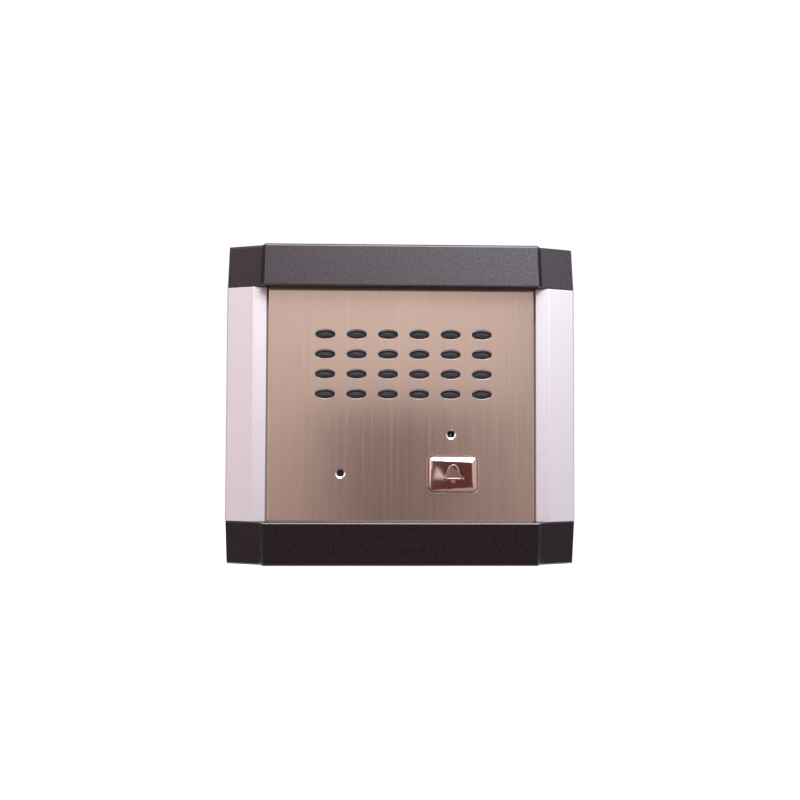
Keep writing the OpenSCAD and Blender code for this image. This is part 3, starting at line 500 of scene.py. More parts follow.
def arc(centre, radius, start, end, steps):
    """Points of an arc in the plane, angles in degrees."""
    turns = [math.radians(start + (end - start) * i / steps) for i in range(steps + 1)]
    return [(centre[0] + radius * math.cos(a), centre[1] + radius * math.sin(a)) for a in turns]


def rounded(w, h, r, steps=6):
    """Outline of a rectangle with round corners, about the middle."""
    quarters = ((1, 1, 0), (-1, 1, 90), (-1, -1, 180), (1, -1, 270))
    return [p for sx, sy, a in quarters
            for p in arc((sx * (w / 2 - r), sy * (h / 2 - r)), r, a, a + 90, steps)]


def oval(w, h, steps=32):
    """Outline of an ellipse about the middle."""
    turns = [2 * math.pi * i / steps for i in range(steps)]
    return [(w / 2 * math.cos(a), h / 2 * math.sin(a)) for a in turns]


def corners(x, z):
    """Four places about the middle, across and up."""
    return [(u, v) for u in (-x, x) for v in (-z, z)]


def middle_of(name):
    """Middle of a CAD node's box, across and up."""
    low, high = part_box(name)
    return (low.x + high.x) / 2, (low.z + high.z) / 2


def port_x():
    """Distance of the screw ports, and of the plugs over them, from the middle."""
    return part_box("screw_plugs")[1].x - PLUG_LIP


def back_screw():
    """Place of the upper right back screw, across and up."""
    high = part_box("back_screws")[1]
    return high.x - SCREW_HEAD, high.z - SCREW_HEAD


def button_size(s):
    """Width and height of the push-button's face."""
    low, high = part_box("button_cap")
    return high.x - low.x - 2 * s.button_lip, high.z - low.z - 2 * s.button_lip


def first_slot(s):
    """The grille slot at the lower left: the size of its throat, and its middle."""
    x, z = middle_of("speaker_cloth")
    size = (s.slot_length - s.rim_roll / 4, s.slot_height - s.rim_roll / 2)
    middle = (x - s.slot_step_x * (s.slot_columns - 1) / 2 - s.rim_roll / 8,
              z - s.slot_step_z * (s.slot_rows - 1) / 2 - s.rim_roll / 4)
    return size, middle


def in_slots(obj, s):
    """Repeats a shape of the first slot in all slots."""
    for count, step in ((s.slot_columns, (s.slot_step_x, 0, 0)), (s.slot_rows, (0, 0, s.slot_step_z))):
        modify(obj, "ARRAY", count=count, use_relative_offset=False, use_constant_offset=True,
               constant_offset_displace=step)


# Finishes

def node(tree, kind, **settings):
    """Adds a node; a setting is one of its properties or the value of one of its sockets."""
    item = tree.nodes.new("ShaderNode" + kind)
    for key, value in settings.items():
        if key in item.bl_rna.properties:
            setattr(item, key, value)
        else:
            item.inputs[key.replace("_", " ")].default_value = value
    return item


def bare_finish(name, **sockets):
    """A new material: its tree, its shader and the Object coordinates."""
    material = bpy.data.materials.new(name)
    material.use_nodes = True
    tree = material.node_tree
    shader = tree.nodes["Principled BSDF"]
    for key, value in sockets.items():
        shader.inputs[key.replace("_", " ")].default_value = value
    place = node(tree, "TexCoord").outputs["Object"]
    return material, tree, shader, place


def noise(tree, place, size, detail=3.0, rough=0.6):
    """A noise whose features have the given size, or sizes along X, Y and Z, in millimetres."""
    sizes = size if isinstance(size, tuple) else (size,) * 3
    mapping = node(tree, "Mapping", Scale=[1 / (n * MM) for n in sizes])
    tree.links.new(place, mapping.inputs["Vector"])
    pattern = node(tree, "TexNoise", Scale=1.0, Detail=detail, Roughness=rough)
    tree.links.new(mapping.outputs["Vector"], pattern.inputs["Vector"])
    return pattern.outputs["Fac"]


def ramp(tree, value, *stops):
    """Colours along a value: (position, colour) pairs."""
    item = node(tree, "ValToRGB")
    while len(item.color_ramp.elements) < len(stops):
        item.color_ramp.elements.new(0.5)
    for element, (position, rgb) in zip(item.color_ramp.elements, stops):
        element.position, element.color = position, (*rgb, 1)
    tree.links.new(value, item.inputs["Fac"])
    return item.outputs["Color"]


def spread(tree, value, low, high, start=0.3, end=0.7):
    """Maps a value between start and end to a range of numbers."""
    item = node(tree, "MapRange", From_Min=start, From_Max=end, To_Min=low, To_Max=high)
    tree.links.new(value, item.inputs["Value"])
    return item.outputs["Result"]


def blend(tree, kind, share, first, second):
    """Mixes two colours; a share is a number or a socket."""
    item = node(tree, "Mix", data_type="RGBA", blend_type=kind)
    if isinstance(share, float):
        item.inputs[0].default_value = share
    else:
        tree.links.new(share, item.inputs[0])
    for socket, source in ((item.inputs[6], first), (item.inputs[7], second)):
        if isinstance(source, tuple):
            socket.default_value = (*source, 1)
        else:
            tree.links.new(source, socket)
    return item.outputs[2]


def tinted(tree, value, rgb, low, high, start=0.3, end=0.7):
    """Shades of a colour along a value, from a darker to a lighter one."""
    dark, light = (tuple(min(1, c * share) for c in rgb) for share in (low, high))
    return ramp(tree, value, (start, dark), (end, light))


def darkened(tree, base, value, dark, start=0.3, end=0.7):
    """Multiplies a colour by another one where a value is low."""
    return blend(tree, "MULTIPLY", 1.0, base, ramp(tree, value, (start, dark), (end, WHITE)))


def emboss(tree, shader, *heights):
    """Stacks bumps, each (height socket, depth in millimetres), onto a shader."""
    last = None
    for height, depth in heights:
        item = node(tree, "Bump", Strength=1.0, Distance=depth * MM)
        tree.links.new(height, item.inputs["Height"])
        if last:
            tree.links.new(last, item.inputs["Normal"])
        last = item.outputs["Normal"]
    tree.links.new(last, shader.inputs["Normal"])


def rail_finish(rgb):
    """Satin anodised aluminium with the faint lines of its drawing and a blasted grain."""
    material, tree, shader, place = bare_finish("rail_satin", Metallic=0.85)
    lines = noise(tree, place, (0.3, 0.3, 60))
    blast = noise(tree, place, 0.5, 2.0, 0.7)
    base = tinted(tree, lines, rgb, 0.985, 1.015)
    base = darkened(tree, base, blast, (0.93, 0.925, 0.925), 0.35, 0.65)
    tree.links.new(base, shader.inputs["Base Color"])
    tree.links.new(spread(tree, blast, 0.48, 0.60), shader.inputs["Roughness"])
    emboss(tree, shader, (lines, 0.003), (blast, 0.012))
    return material


def plate_finish(rgb):
    """Stainless steel brushed upright, in faint patches, with a broad sheen under a narrow one."""
    material, tree, shader, place = bare_finish("plate_brushed", Metallic=1.0)
    fine = noise(tree, place, (0.22, 0.22, 30))
    coarse = noise(tree, place, (0.7, 0.7, 90), 4.0)
    patches = noise(tree, place, (14, 14, 26), 2.0)
    base = tinted(tree, fine, rgb, 0.94, 1.05)
    base = darkened(tree, base, coarse, (0.955, 0.955, 0.96))
    base = darkened(tree, base, patches, (0.97, 0.97, 0.97), 0.35, 0.65)
    broad = node(tree, "BsdfPrincipled", Metallic=1.0)
    for sheen, low, high in ((shader, 0.10, 0.13), (broad, 0.46, 0.56)):
        tree.links.new(base, sheen.inputs["Base Color"])
        tree.links.new(spread(tree, coarse, low, high), sheen.inputs["Roughness"])
        emboss(tree, sheen, (coarse, 0.0015), (fine, 0.007))
    both = node(tree, "MixShader", Fac=0.22)
    for socket, sheen in zip(both.inputs[1:], (shader, broad)):
        tree.links.new(sheen.outputs["BSDF"], socket)
    tree.links.new(both.outputs["Shader"], tree.nodes["Material Output"].inputs["Surface"])
    return material


def cap_finish(rgb):
    """Moulded black plastic with a spark-eroded grain."""
    material, tree, shader, place = bare_finish("cap_grained", IOR=1.5, Specular_IOR_Level=0.42,
                                                Specular_Tint=(1.0, 0.88, 0.95, 1))
    grain = noise(tree, place, 0.6, 2.0, 0.7)
    sparse = noise(tree, place, 1.8, 2.0)
    worn = noise(tree, place, 16, 2.0)
    base = tinted(tree, grain, rgb, 0.5, 1.9, 0.32, 0.68)
    base = darkened(tree, base, worn, (0.85, 0.84, 0.84), 0.35, 0.65)
    tree.links.new(base, shader.inputs["Base Color"])
    tree.links.new(spread(tree, grain, 0.36, 0.58), shader.inputs["Roughness"])
    emboss(tree, shader, (sparse, 0.03), (grain, 0.10))
    return material


def chrome_finish(rgb):
    """Bright plating with faint wipe marks."""
    material, tree, shader, place = bare_finish("button_chrome", Metallic=1.0)
    haze = noise(tree, place, (3, 3, 7))
    wipes = noise(tree, place, (0.12, 0.12, 5), 2.0)
    tree.links.new(tinted(tree, haze, rgb, 0.94, 1.04, 0.35, 0.65), shader.inputs["Base Color"])
    tree.links.new(spread(tree, haze, 0.02, 0.055), shader.inputs["Roughness"])
    emboss(tree, shader, (wipes, 0.0006))
    return material


def cloth_finish(rgb):
    """Plain-woven acoustic cloth: warp and weft threads that pass over and under, with painted shade in the
    dips.
    """
    material, tree, shader, place = bare_finish("grille_weave", Roughness=0.92, Specular_IOR_Level=0.2)
    axes = node(tree, "SeparateXYZ")
    tree.links.new(place, axes.inputs["Vector"])
    waves = []
    for axis in ("X", "Z"):
        turn = node(tree, "Math", operation="MULTIPLY")
        turn.inputs[1].default_value = math.pi / bpy.context.scene.station_sizes.weave
        tree.links.new(axes.outputs[axis], turn.inputs[0])
        wave = node(tree, "Math", operation="SINE")
        tree.links.new(turn.outputs[0], wave.inputs[0])
        waves.append(wave.outputs[0])
    crossing = node(tree, "Math", operation="MULTIPLY")
    for wave, socket in zip(waves, crossing.inputs):
        tree.links.new(wave, socket)
    fibre = noise(tree, place, 0.09, 2.0)
    # Painted shade of the weave: the colour runs from dark where the weave's relief is low to light on its
    # crests.
    over = spread(tree, crossing.outputs[0], 0.0, 1.0, -1.0, 1.0)
    base = tinted(tree, over, rgb, 0.45, 1.6, 0.2, 0.8)
    base = darkened(tree, base, fibre, (0.7, 0.7, 0.7))
    tree.links.new(base, shader.inputs["Base Color"])
    emboss(tree, shader, (crossing.outputs[0], 0.05), (fibre, 0.02))
    return material


def zinc_finish(rgb):
    """Galvanised sheet with its spangle of crystals."""
    material, tree, shader, place = bare_finish("cover_zinc", Metallic=0.9)
    cells = node(tree, "TexVoronoi", Scale=1 / (5 * MM), Randomness=1.0)
    tree.links.new(place, cells.inputs["Vector"])
    cell = node(tree, "SeparateColor")
    tree.links.new(cells.outputs["Color"], cell.inputs["Color"])
    roll = noise(tree, place, (0.3, 0.3, 12))
    base = tinted(tree, cell.outputs["Red"], rgb, 0.78, 1.12, 0.0, 1.0)
    base = darkened(tree, base, roll, (0.92, 0.92, 0.93))
    tree.links.new(base, shader.inputs["Base Color"])
    tree.links.new(spread(tree, cell.outputs["Green"], 0.34, 0.5, 0.0, 1.0), shader.inputs["Roughness"])
    emboss(tree, shader, (roll, 0.006))
    return material


def board_finish(rgb):
    """Circuit board: green mask over faint copper tracks."""
    material, tree, shader, place = bare_finish("board_mask", Roughness=0.32, Coat_Weight=0.3)
    tracks = node(tree, "TexBrick", Scale=1 / (7 * MM), Mortar_Size=0.03, Brick_Width=0.6, Row_Height=0.3)
    turned = node(tree, "Mapping", Rotation=(math.pi / 2, 0, 0))
    tree.links.new(place, turned.inputs["Vector"])
    tree.links.new(turned.outputs["Vector"], tracks.inputs["Vector"])
    glass = noise(tree, place, 0.5, 2.0)
    base = tinted(tree, glass, rgb, 0.85, 1.2)
    base = blend(tree, "MIX", tracks.outputs["Fac"], base, tuple(2 * c for c in rgb))
    tree.links.new(base, shader.inputs["Base Color"])
    emboss(tree, shader, (glass, 0.004))
    return material


def plain_finish(name, rgb, rough, grain, tint, swing, depth, **sockets):
    """A finish with one fine grain, whose size is in millimetres, in its colour, gloss and surface."""
    material, tree, shader, place = bare_finish(name, **sockets)
    fine = noise(tree, place, grain)
    tree.links.new(tinted(tree, fine, rgb, 1 - tint, 1 + tint), shader.inputs["Base Color"])
    tree.links.new(spread(tree, fine, rough - swing, rough + swing), shader.inputs["Roughness"])
    emboss(tree, shader, (fine, depth))
    return material


RICH_FINISHES = {"rail": rail_finish, "plate": plate_finish, "cap": cap_finish, "chrome": chrome_finish,
                 "cloth": cloth_finish, "sheet": zinc_finish, "board": board_finish}
# Plain finishes by their slots: name, colour or whose colour it is, roughness, size of the grain,
# share of the colour that it changes, swing of the roughness, depth of the grain, and other sockets
METAL = {"Metallic": 1.0}
PLAIN_FINISHES = {
    "worn_edge": ("cap_worn_edge", "cap", 0.14, 0.6, 0.3, 0.05, 0.006, {"Specular_IOR_Level": 0.85}),
    "sink": ("sink_polished", (0.88, 0.82, 0.79), 0.16, 0.3, 0.05, 0.04, 0.002, METAL),
    "rim": ("rim_burnished", (0.66, 0.60, 0.59), 0.3, 0.3, 0.06, 0.05, 0.002, METAL),
    # The seam's dull dark grey is painted shade: it stands for the shadow in the gap under a rail's lip.
    "seam": ("seam_dull", (0.30, 0.27, 0.265), 0.6, 0.4, 0.2, 0.06, 0.01, {}),
    "steel": ("screw_steel", (0.58, 0.57, 0.56), 0.3, 0.5, 0.1, 0.08, 0.002, METAL),
    "rubber": ("soft_rubber", "rubber", 0.72, 0.3, 0.3, 0.08, 0.02, {}),
    "foam": ("gasket_foam", (0.03, 0.03, 0.032), 0.9, 0.6, 0.5, 0.05, 0.15, {}),
    "cone": ("cone_paper", (0.035, 0.033, 0.032), 0.8, 0.7, 0.4, 0.08, 0.05, {}),
    "copper": ("coil_copper", (0.62, 0.27, 0.13), 0.32, (0.4, 0.12, 0.4), 0.2, 0.08, 0.02, METAL),
    "ferrite": ("magnet_ferrite", (0.05, 0.05, 0.053), 0.62, 0.8, 0.25, 0.1, 0.03, {}),
    "pale_plastic": ("guide_nylon", (0.66, 0.64, 0.57), 0.45, 0.9, 0.06, 0.06, 0.008,
                     {"Subsurface_Weight": 0.05}),
    "dark_plastic": ("switch_plastic", (0.028, 0.028, 0.03), 0.42, 0.4, 0.25, 0.08, 0.01, {}),
    "red_plastic": ("plunger_red", (0.45, 0.03, 0.025), 0.4, 0.8, 0.1, 0.06, 0.006, {}),
    "green_plastic": ("terminal_green", (0.03, 0.25, 0.10), 0.42, 0.9, 0.1, 0.06, 0.006, {}),
    "brass": ("spacer_brass", (0.72, 0.50, 0.20), 0.28, (0.3, 3, 0.3), 0.1, 0.06, 0.003, METAL),
    "can": ("can_sleeve", (0.04, 0.05, 0.11), 0.35, 1.2, 0.15, 0.06, 0.004, {}),
    "lamp": ("lamp_lens", "lamp", 0.14, 1.5, 0.1, 0.03, 0.002, {"Coat_Weight": 0.4}),
}
MADE_FINISHES = {}


def finish(slot):
    """The finish of a material slot, made once."""
    if slot not in MADE_FINISHES:
        tone = bpy.context.scene.station_colours
        if slot in RICH_FINISHES:
            material = RICH_FINISHES[slot](getattr(tone, slot))
        elif slot in PLAIN_FINISHES:
            name, rgb, *surface, sockets = PLAIN_FINISHES[slot]
            rgb = getattr(tone, rgb) if isinstance(rgb, str) else rgb
            material = plain_finish(name, rgb, *surface, **sockets)
        else:
            raise RuntimeError(f"no finish for the slot {slot}")
        MADE_FINISHES[slot] = material
    return MADE_FINISHES[slot]


# Pieces

class STATION_OT_inside(bpy.types.Operator):
    """Gives the parts inside, which keep their CAD shape, their finishes"""
    bl_idname = "station.inside"
    bl_label = "Parts inside"

    def execute(self, context):
        for part in frame["record"]["subparts"]:
            obj = frame["nodes"][part["node"]]
            obj.data.materials.clear()
            wear(obj, part["material_slot"])
        return {"FINISHED"}


class STATION_OT_rails(bpy.types.Operator):
    """Draws the two side rails with their facets, groove, screw port and flange"""
    bl_idname = "station.rails"
    bl_label = "Side rails"

    def port(self, s):
        """Outline of the slit screw port, from the upper side of its web around to the lower one."""
        middle = (port_x(), s.port_depth)
        web = math.degrees(math.asin(s.rail_wall / 2 / s.port_radius))
        slit_out = math.degrees(math.asin(PORT_SLIT / 2 / s.port_radius))
        slit_in = math.degrees(math.asin(PORT_SLIT / 2 / s.port_bore))
        return (arc(middle, s.port_radius, web, 180 - slit_out, 12)
                + arc(middle, s.port_bore, 180 - slit_in, slit_in - 180, 16)
                + arc(middle, s.port_radius, slit_out - 180, -web, 12))

    def section(self, s, inner, side, flange_x):
        """Outline of the right rail's section: distances from the middle and from the wall."""
        wall, chamfer = s.rail_wall, s.rail_chamfer
        lip_x, groove_x, ridge_x = inner + s.seam, inner + s.rail_groove, inner + s.rail_facet
        hollow_x = side - wall
        ridge, edge = FACE + s.rail_ridge, FACE - s.rail_drop
        slope = (ridge - edge) / (side - ridge_x)
        lip = FACE + s.rail_lip + (s.rail_ridge - s.rail_lip) * s.seam / s.rail_facet
        front, back = FACE + PLAY, FACE - s.plate_sheet - PLAY
        seat, flange = COVER_SHEET, COVER_SHEET + RAIL_FLANGE
        return [(side, 0), (side, edge - CHAMFER_PITCH * chamfer), (side - chamfer, edge + slope * chamfer),
                (ridge_x, ridge), (lip_x, lip), (lip_x, front), (groove_x, front), (groove_x, back),
                (inner, back), (inner, back - wall), (groove_x + wall, back - wall),
                (groove_x + wall, front + PLAY), (ridge_x, ridge - wall),
                (hollow_x, ridge - wall - slope * (hollow_x - ridge_x)), (hollow_x, s.port_depth + wall / 2),
                *self.port(s),
                (hollow_x, s.port_depth - wall / 2), (hollow_x, flange), (flange_x, flange), (flange_x, seat),
                (hollow_x, seat), (hollow_x, 0)]

    def execute(self, context):
        s = context.scene.station_sizes
        low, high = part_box("rail_right")
        screw_x, screw_z = back_screw()
        outline = self.section(s, low.x, high.x, screw_x - FLANGE_MARGIN)
        rail = drawn("right_rail", [out(x, depth, low.z) for x, depth in outline], z=high.z - low.z)
        carve(rail, join(*[post("bore", SCREW_HOLE, out(screw_x, -PAST, z), out(screw_x, SCREW_BORE, z), 24)
                           for z in (-screw_z, screw_z)]))
        soften(rail, s.edge_break, 2, 20)
        left = mirrored(rail, "left_rail", (-1, 1, 1))
        settle(rail, "housing", "rail", "rail_right")
        settle(left, "housing", "rail", "rail_left")
        return {"FINISHED"}


class STATION_OT_caps(bpy.types.Operator):
    """Moulds the two end caps: raised middle, leaning front, hollow back, floor opening and screw wells"""
    bl_idname = "station.caps"
    bl_label = "End caps"

    def rises(self, s):
        """Rise of the front over the plate where its middle ends, at the flank's foot and at the end."""
        inner, side = (corner.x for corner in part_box("rail_right"))
        ridge_x, middle, cap_x = inner + s.rail_facet, inner + s.cap_reach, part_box("top_cap")[1].x
        foot = middle + s.cap_flank
        fall = (s.rail_ridge + s.rail_drop) / (side - ridge_x)
        return {middle: s.cap_raise, foot: s.rail_ridge + fall * (ridge_x - foot),
                cap_x: s.rail_ridge - fall * (cap_x - ridge_x)}

    def shape(self, s, end, top):
        """The cap without openings: a block drawn out to its front, hollow behind, its front edges broken."""
        rises = self.rises(s)
        middle, foot, cap_x = rises
        columns = [sign * x for x in rises for sign in (-1, 1)]

        def depth(x, z):
            """Distance of the leaning front from the wall."""
            return FACE + rises[abs(x)] - s.cap_lean * (z - end) / (top - end)

        cap = block("upper_cap", out(-cap_x, FACE, end), out(cap_x, 0, top))
        wear(cap, "cap", "worn_edge")
        work_on(cap)
        for x in (-middle, middle, -foot, foot):
            split((x, 0, 0), (1, 0, 0))
        for x in columns:
            for z in (end, top):
                pick(cap, "VERT", at(x, -FACE, z))
                shift(y=FACE - depth(x, z))
        pick(cap, "FACE", lambda p, n: n.y > 0.99)
        bpy.ops.mesh.inset(thickness=s.cap_wall, use_boundary=True, use_even_offset=True)
        push_out(y=-CAP_HOLLOW)
        for x in columns:
            inner_x = math.copysign(cap_x - s.cap_wall, x) if abs(x) == cap_x else x
            for z in (end + s.cap_wall, top - s.cap_wall):
                pick(cap, "VERT", at(inner_x, -CAP_HOLLOW, z, 10 * NEAR))
                shift(y=CAP_HOLLOW - depth(x, z) + s.cap_wall)
        pick(cap, "EDGE", lambda a, b: min(a.z, b.z) > top - NEAR and max(a.y, b.y) < -CAP_FRONT)
        bpy.ops.mesh.bevel(offset=s.cap_edge, segments=6, profile=0.5, affect="EDGES", material=1)
        pick(cap, "EDGE", lambda a, b: max(a.z, b.z) < end + NEAR and max(a.y, b.y) < -CAP_FRONT)
        bpy.ops.mesh.bevel(offset=s.cap_chamfer, segments=1, affect="EDGES", material=1)
        turn_out()
        return cap

    def open_up(self, s, cap, end, top):
        """Cuts the room for the inside, the plate's slot, the back cover's recess and the screws' wells."""
        room_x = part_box("rail_right")[0].x - s.cap_wall
        plate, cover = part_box("front_plate"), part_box("back_cover")
        start, roof = end - PAST, end + CAP_FLOOR + PAST
        carve(cap, block("room", (-room_x, -FACE - PLAY, start), (room_x, PAST, roof)))
        carve(cap, block("slot", (plate[0].x - PLAY, -FACE - PLAY, start),
                         (plate[1].x + PLAY, PLAY - FACE + s.plate_sheet, plate[1].z + PLAY)))
        carve(cap, block("recess", (cover[0].x - PLAY, cover[0].y - PLAY, start),
                         (cover[1].x + PLAY, PAST, roof)))
        wells = ((PLUG_LIP + WELL_PLAY, top - s.plug_lip, top + PAST),
                 (PLUG_STEM + WELL_PLAY, top - WELL_DEPTH, top), (CAP_SCREW_HOLE, start, roof))
        for x in (-port_x(), port_x()):
            for radius, low, high in wells:
                carve(cap, post("well", radius, out(x, s.port_depth, low), out(x, s.port_depth, high)))

    def tongues(self, s, end):
        """The two tongues that go into the rails."""
        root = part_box("rail_right")[1].x - s.rail_wall - 2 * PLAY
        keys = []
        for sign in (-1, 1):
            left, right = sorted((sign * root, sign * (root - TONGUE_WIDTH)))
            keys.append(block("tongue", out(left, TONGUE_FRONT, end - TONGUE_LENGTH),
                              out(right, TONGUE_BACK, end + TONGUE_ROOT)))
            soften(keys[-1], TONGUE_BREAK)
        return keys

    def execute(self, context):
        s = context.scene.station_sizes
        end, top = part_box("rail_right")[1].z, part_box("top_cap")[1].z
        cap = self.shape(s, end, top)
        self.open_up(s, cap, end, top)
        soften(cap, s.cap_break, 1, 20, 1)
        cap = join(cap, *self.tongues(s, end))
        lower = mirrored(cap, "lower_cap", (1, 1, -1))
        settle(cap, "housing", "cap", "top_cap")
        settle(lower, "housing", "cap", "bottom_cap")
        return {"FINISHED"}


class STATION_OT_plugs(bpy.types.Operator):
    """Makes the four round plugs over the cap screws, each with a lip and a dished top"""
    bl_idname = "station.plugs"
    bl_label = "Screw plugs"

    def execute(self, context):
        s = context.scene.station_sizes
        x, y, top = port_x(), -s.port_depth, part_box("screw_plugs")[1].z
        plug = post("cap_plugs", PLUG_LIP, (x, y, top - s.plug_lip), (x, y, top), 48)
        work_on(plug)
        pick(plug, "FACE", lambda p, n: n.z > 0.9)
        bpy.ops.mesh.inset(thickness=DISH_RIM)
        push_out(z=-DISH_DEPTH)
        stretch((DISH_FLOOR, DISH_FLOOR, 1), (x, y, top))
        pick(plug, "FACE", lambda p, n: n.z < -0.9)
        bpy.ops.mesh.inset(thickness=PLUG_LIP - PLUG_STEM)
        push_out(z=s.plug_lip - s.cap_wall)
        turn_out()
        soften(plug, PLUG_BREAK)
        settle(in_corners(plug), "housing", "cap", "screw_plugs")
        return {"FINISHED"}


class STATION_OT_front_plate(bpy.types.Operator):
    """Punches the front plate: slots and cut-out with rolled rims, countersunk holes, and studs behind"""
    bl_idname = "station.front_plate"
    bl_label = "Front plate"

    skins = ("plate", "sink", "seam", "rim")

    def cut(self, plate, tool, skin):
        """Cuts a tool out of the plate; the walls of the cut get one of the plate's finishes."""
        wear(tool, *self.skins)
        for face in tool.data.polygons:
            face.material_index = self.skins.index(skin)
        carve(plate, tool)

    def seams(self, s, plate):
        """Cuts the seam beside each rail, dark as painted shade, and lets the plate's margin fall away to it.
        """
        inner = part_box("rail_right")[0].x
        low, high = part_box("front_plate")
        for edge in (inner, -inner - s.seam):
            self.cut(plate, block("seam", (edge, -FACE - PAST, low.z - PAST),
                                  (edge + s.seam, s.seam_depth - FACE, high.z + PAST)), "seam")
        work_on(plate)
        for sign in (-1, 1):
            split((sign * (inner - s.seam_fall), 0, 0), (1, 0, 0))
        pick(plate, "VERT", lambda p: abs(abs(p.x) - inner) < NEAR and abs(p.y + FACE) < NEAR)
        shift(y=s.seam_drop)
        done()

    def punch(self, s, name, outline, size, centre, growth):
        """A cutter that widens in a round at the plate's face: growth to the right, left, up and down."""
        x, z = centre
        right, left, up, down = growth
        back, depth = FACE - s.plate_sheet - PAST, max(growth)
        tool = trace(name, facing(outline, x, back, z))
        push_out(y=back - FACE + depth)
        last, deep = (*size, 0.0, 0.0), 0.0
        for i in range(1, RIM_STEPS + 1):
            turn = math.pi / 2 * i / RIM_STEPS
            share, rise = 1 - math.cos(turn), depth * math.sin(turn)
            grown = (size[0] + (right + left) * share, size[1] + (up + down) * share)
            moved = ((right - left) * share / 2, (up - down) * share / 2)
            push_out(y=deep - rise)
            stretch((grown[0] / last[0], 1, grown[1] / last[1]), out(x + last[2], 0, z + last[3]))
            shift(x=moved[0] - last[2], z=moved[1] - last[3])
            last, deep = (*grown, *moved), rise
        push_out(y=-PAST)
        turn_out()
        return tool

    def slots(self, s):
        """The cutter of the grille's slots, whose rims roll towards the upper right."""
        size, middle = first_slot(s)
        rim, roll = s.rim_round, s.rim_roll
        tool = self.punch(s, "slots", oval(*size), size, middle, (rim + roll / 2, rim, rim + roll, rim))
        in_slots(tool, s)
        return tool

    def cut_out(self, s):
        """The cutter of the push-button's cut-out."""
        w, h = (n + 2 * s.button_gap for n in button_size(s))
        rim = s.cut_out_rim
        return self.punch(s, "cut_out", rounded(w, h, s.button_corner + s.button_gap), (w, h),
                          middle_of("button_cap"), (rim, rim, s.rim_round / 2, rim))

    def pinhole(self, s, x, z):
        """The cutter of a small countersunk hole."""
        sink = (s.pinhole_sink - s.pinhole) * s.sink_slope
        wider = s.pinhole_sink / s.pinhole
        outline = oval(2 * s.pinhole, 2 * s.pinhole, 40)
        tool = trace("pinhole", facing(outline, x, FACE - s.plate_sheet - PAST, z))
        push_out(y=sink - s.plate_sheet - PAST)
        push_out(y=-sink)
        stretch((wider, 1, wider), out(x, 0, z))
        push_out(y=-PAST)
        turn_out()
        return tool

    def studs(self, s):
        """The weld studs on the plate's back: for the speaker, the push-button's guide and the board."""
        back = FACE - s.plate_sheet
        grille_x, grille_z = middle_of("speaker_cloth")
        button_x, button_z = middle_of("button_cap")
        nut_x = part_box("stud_nuts")[1].x - button_x - NUT_REACH
        low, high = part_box("circuit_board")
        places = [(grille_x + u, grille_z + v, STUD_LONG)
                  for u, v in corners(STUD_REACH * math.cos(STUD_TURN), STUD_REACH * math.sin(STUD_TURN))]
        places += [(button_x + u, button_z, STUD_LONG) for u in (-nut_x, nut_x)]
        places += [(x, z, STUD_SHORT) for x in (low.x + BOARD_MARGIN, high.x - BOARD_MARGIN)
                   for z in (low.z + BOARD_MARGIN, high.z - BOARD_MARGIN)]
        posts = []
        for x, z, reach in places:
            posts.append(post("stud", STUD_RADIUS, out(x, back + STUD_ROOT, z), out(x, back - reach, z), 24))
            soften(posts[-1], STUD_BREAK)
        return posts

    def execute(self, context):
        s = context.scene.station_sizes
        low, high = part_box("front_plate")
        plate = block("face_plate", (low.x, -FACE, low.z), (high.x, s.plate_sheet - FACE, high.z))
        wear(plate, *self.skins)
        self.seams(s, plate)
        self.cut(plate, self.slots(s), "rim")
        self.cut(plate, self.cut_out(s), "rim")
        for behind in ("indicator_led", "mic_capsule"):
            self.cut(plate, self.pinhole(s, *middle_of(behind)), "sink")
        settle(join(plate, *self.studs(s)), "housing", "plate", "front_plate")
        return {"FINISHED"}


class STATION_OT_grille_cloth(bpy.types.Operator):
    """Stretches the acoustic cloth behind the slots, cut to the speaker's rim, and swells it into them"""
    bl_idname = "station.grille_cloth"
    bl_label = "Grille cloth"

    def swells(self, s, behind):
        """The cloth's domes in the slots."""
        size, (x, z) = first_slot(s)
        outline = oval(*(n - 2 * s.swell_gap for n in size))
        dome = trace("swell", facing(outline, x, behind + SWELL_START, z))
        push_out(y=SWELL_START - SWELL_FOOT)
        last = 1.0
        for share in SWELL_RINGS:
            push_out(y=s.swell * (share ** 2 - last ** 2))
            stretch((share / last, 1, share / last), out(x, 0, z))
            last = share
        turn_out()
        in_slots(dome, s)
        return dome

    def execute(self, context):
        s = context.scene.station_sizes
        low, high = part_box("speaker_cloth")
        half_w, behind = (high.x - low.x) / 2, -high.y
        bow, turn = SPEAKER_RIM - CLOTH_TRIM, math.degrees(math.asin(CLOTH_HALF / SPEAKER_RIM))
        outline = [(half_w, CLOTH_HALF), *arc((0, 0), bow, turn, 180 - turn, 24), (-half_w, CLOTH_HALF),
                   (-half_w, -CLOTH_HALF), *arc((0, 0), bow, 180 + turn, 360 - turn, 24),
                   (half_w, -CLOTH_HALF)]
        x, z = middle_of("speaker_cloth")
        cloth = trace("grille_cloth", facing(outline, x, behind + CLOTH_GAP, z))
        area = sum(f.calc_area() for f in bmesh.from_edit_mesh(cloth.data).faces)
        push_out(y=-CLOTH_SHEET)
        turn_out()
        carve(cloth, self.swells(s, behind), "UNION")
        settle(cloth, "housing", "cloth", "speaker_cloth")
        return {"FINISHED"}


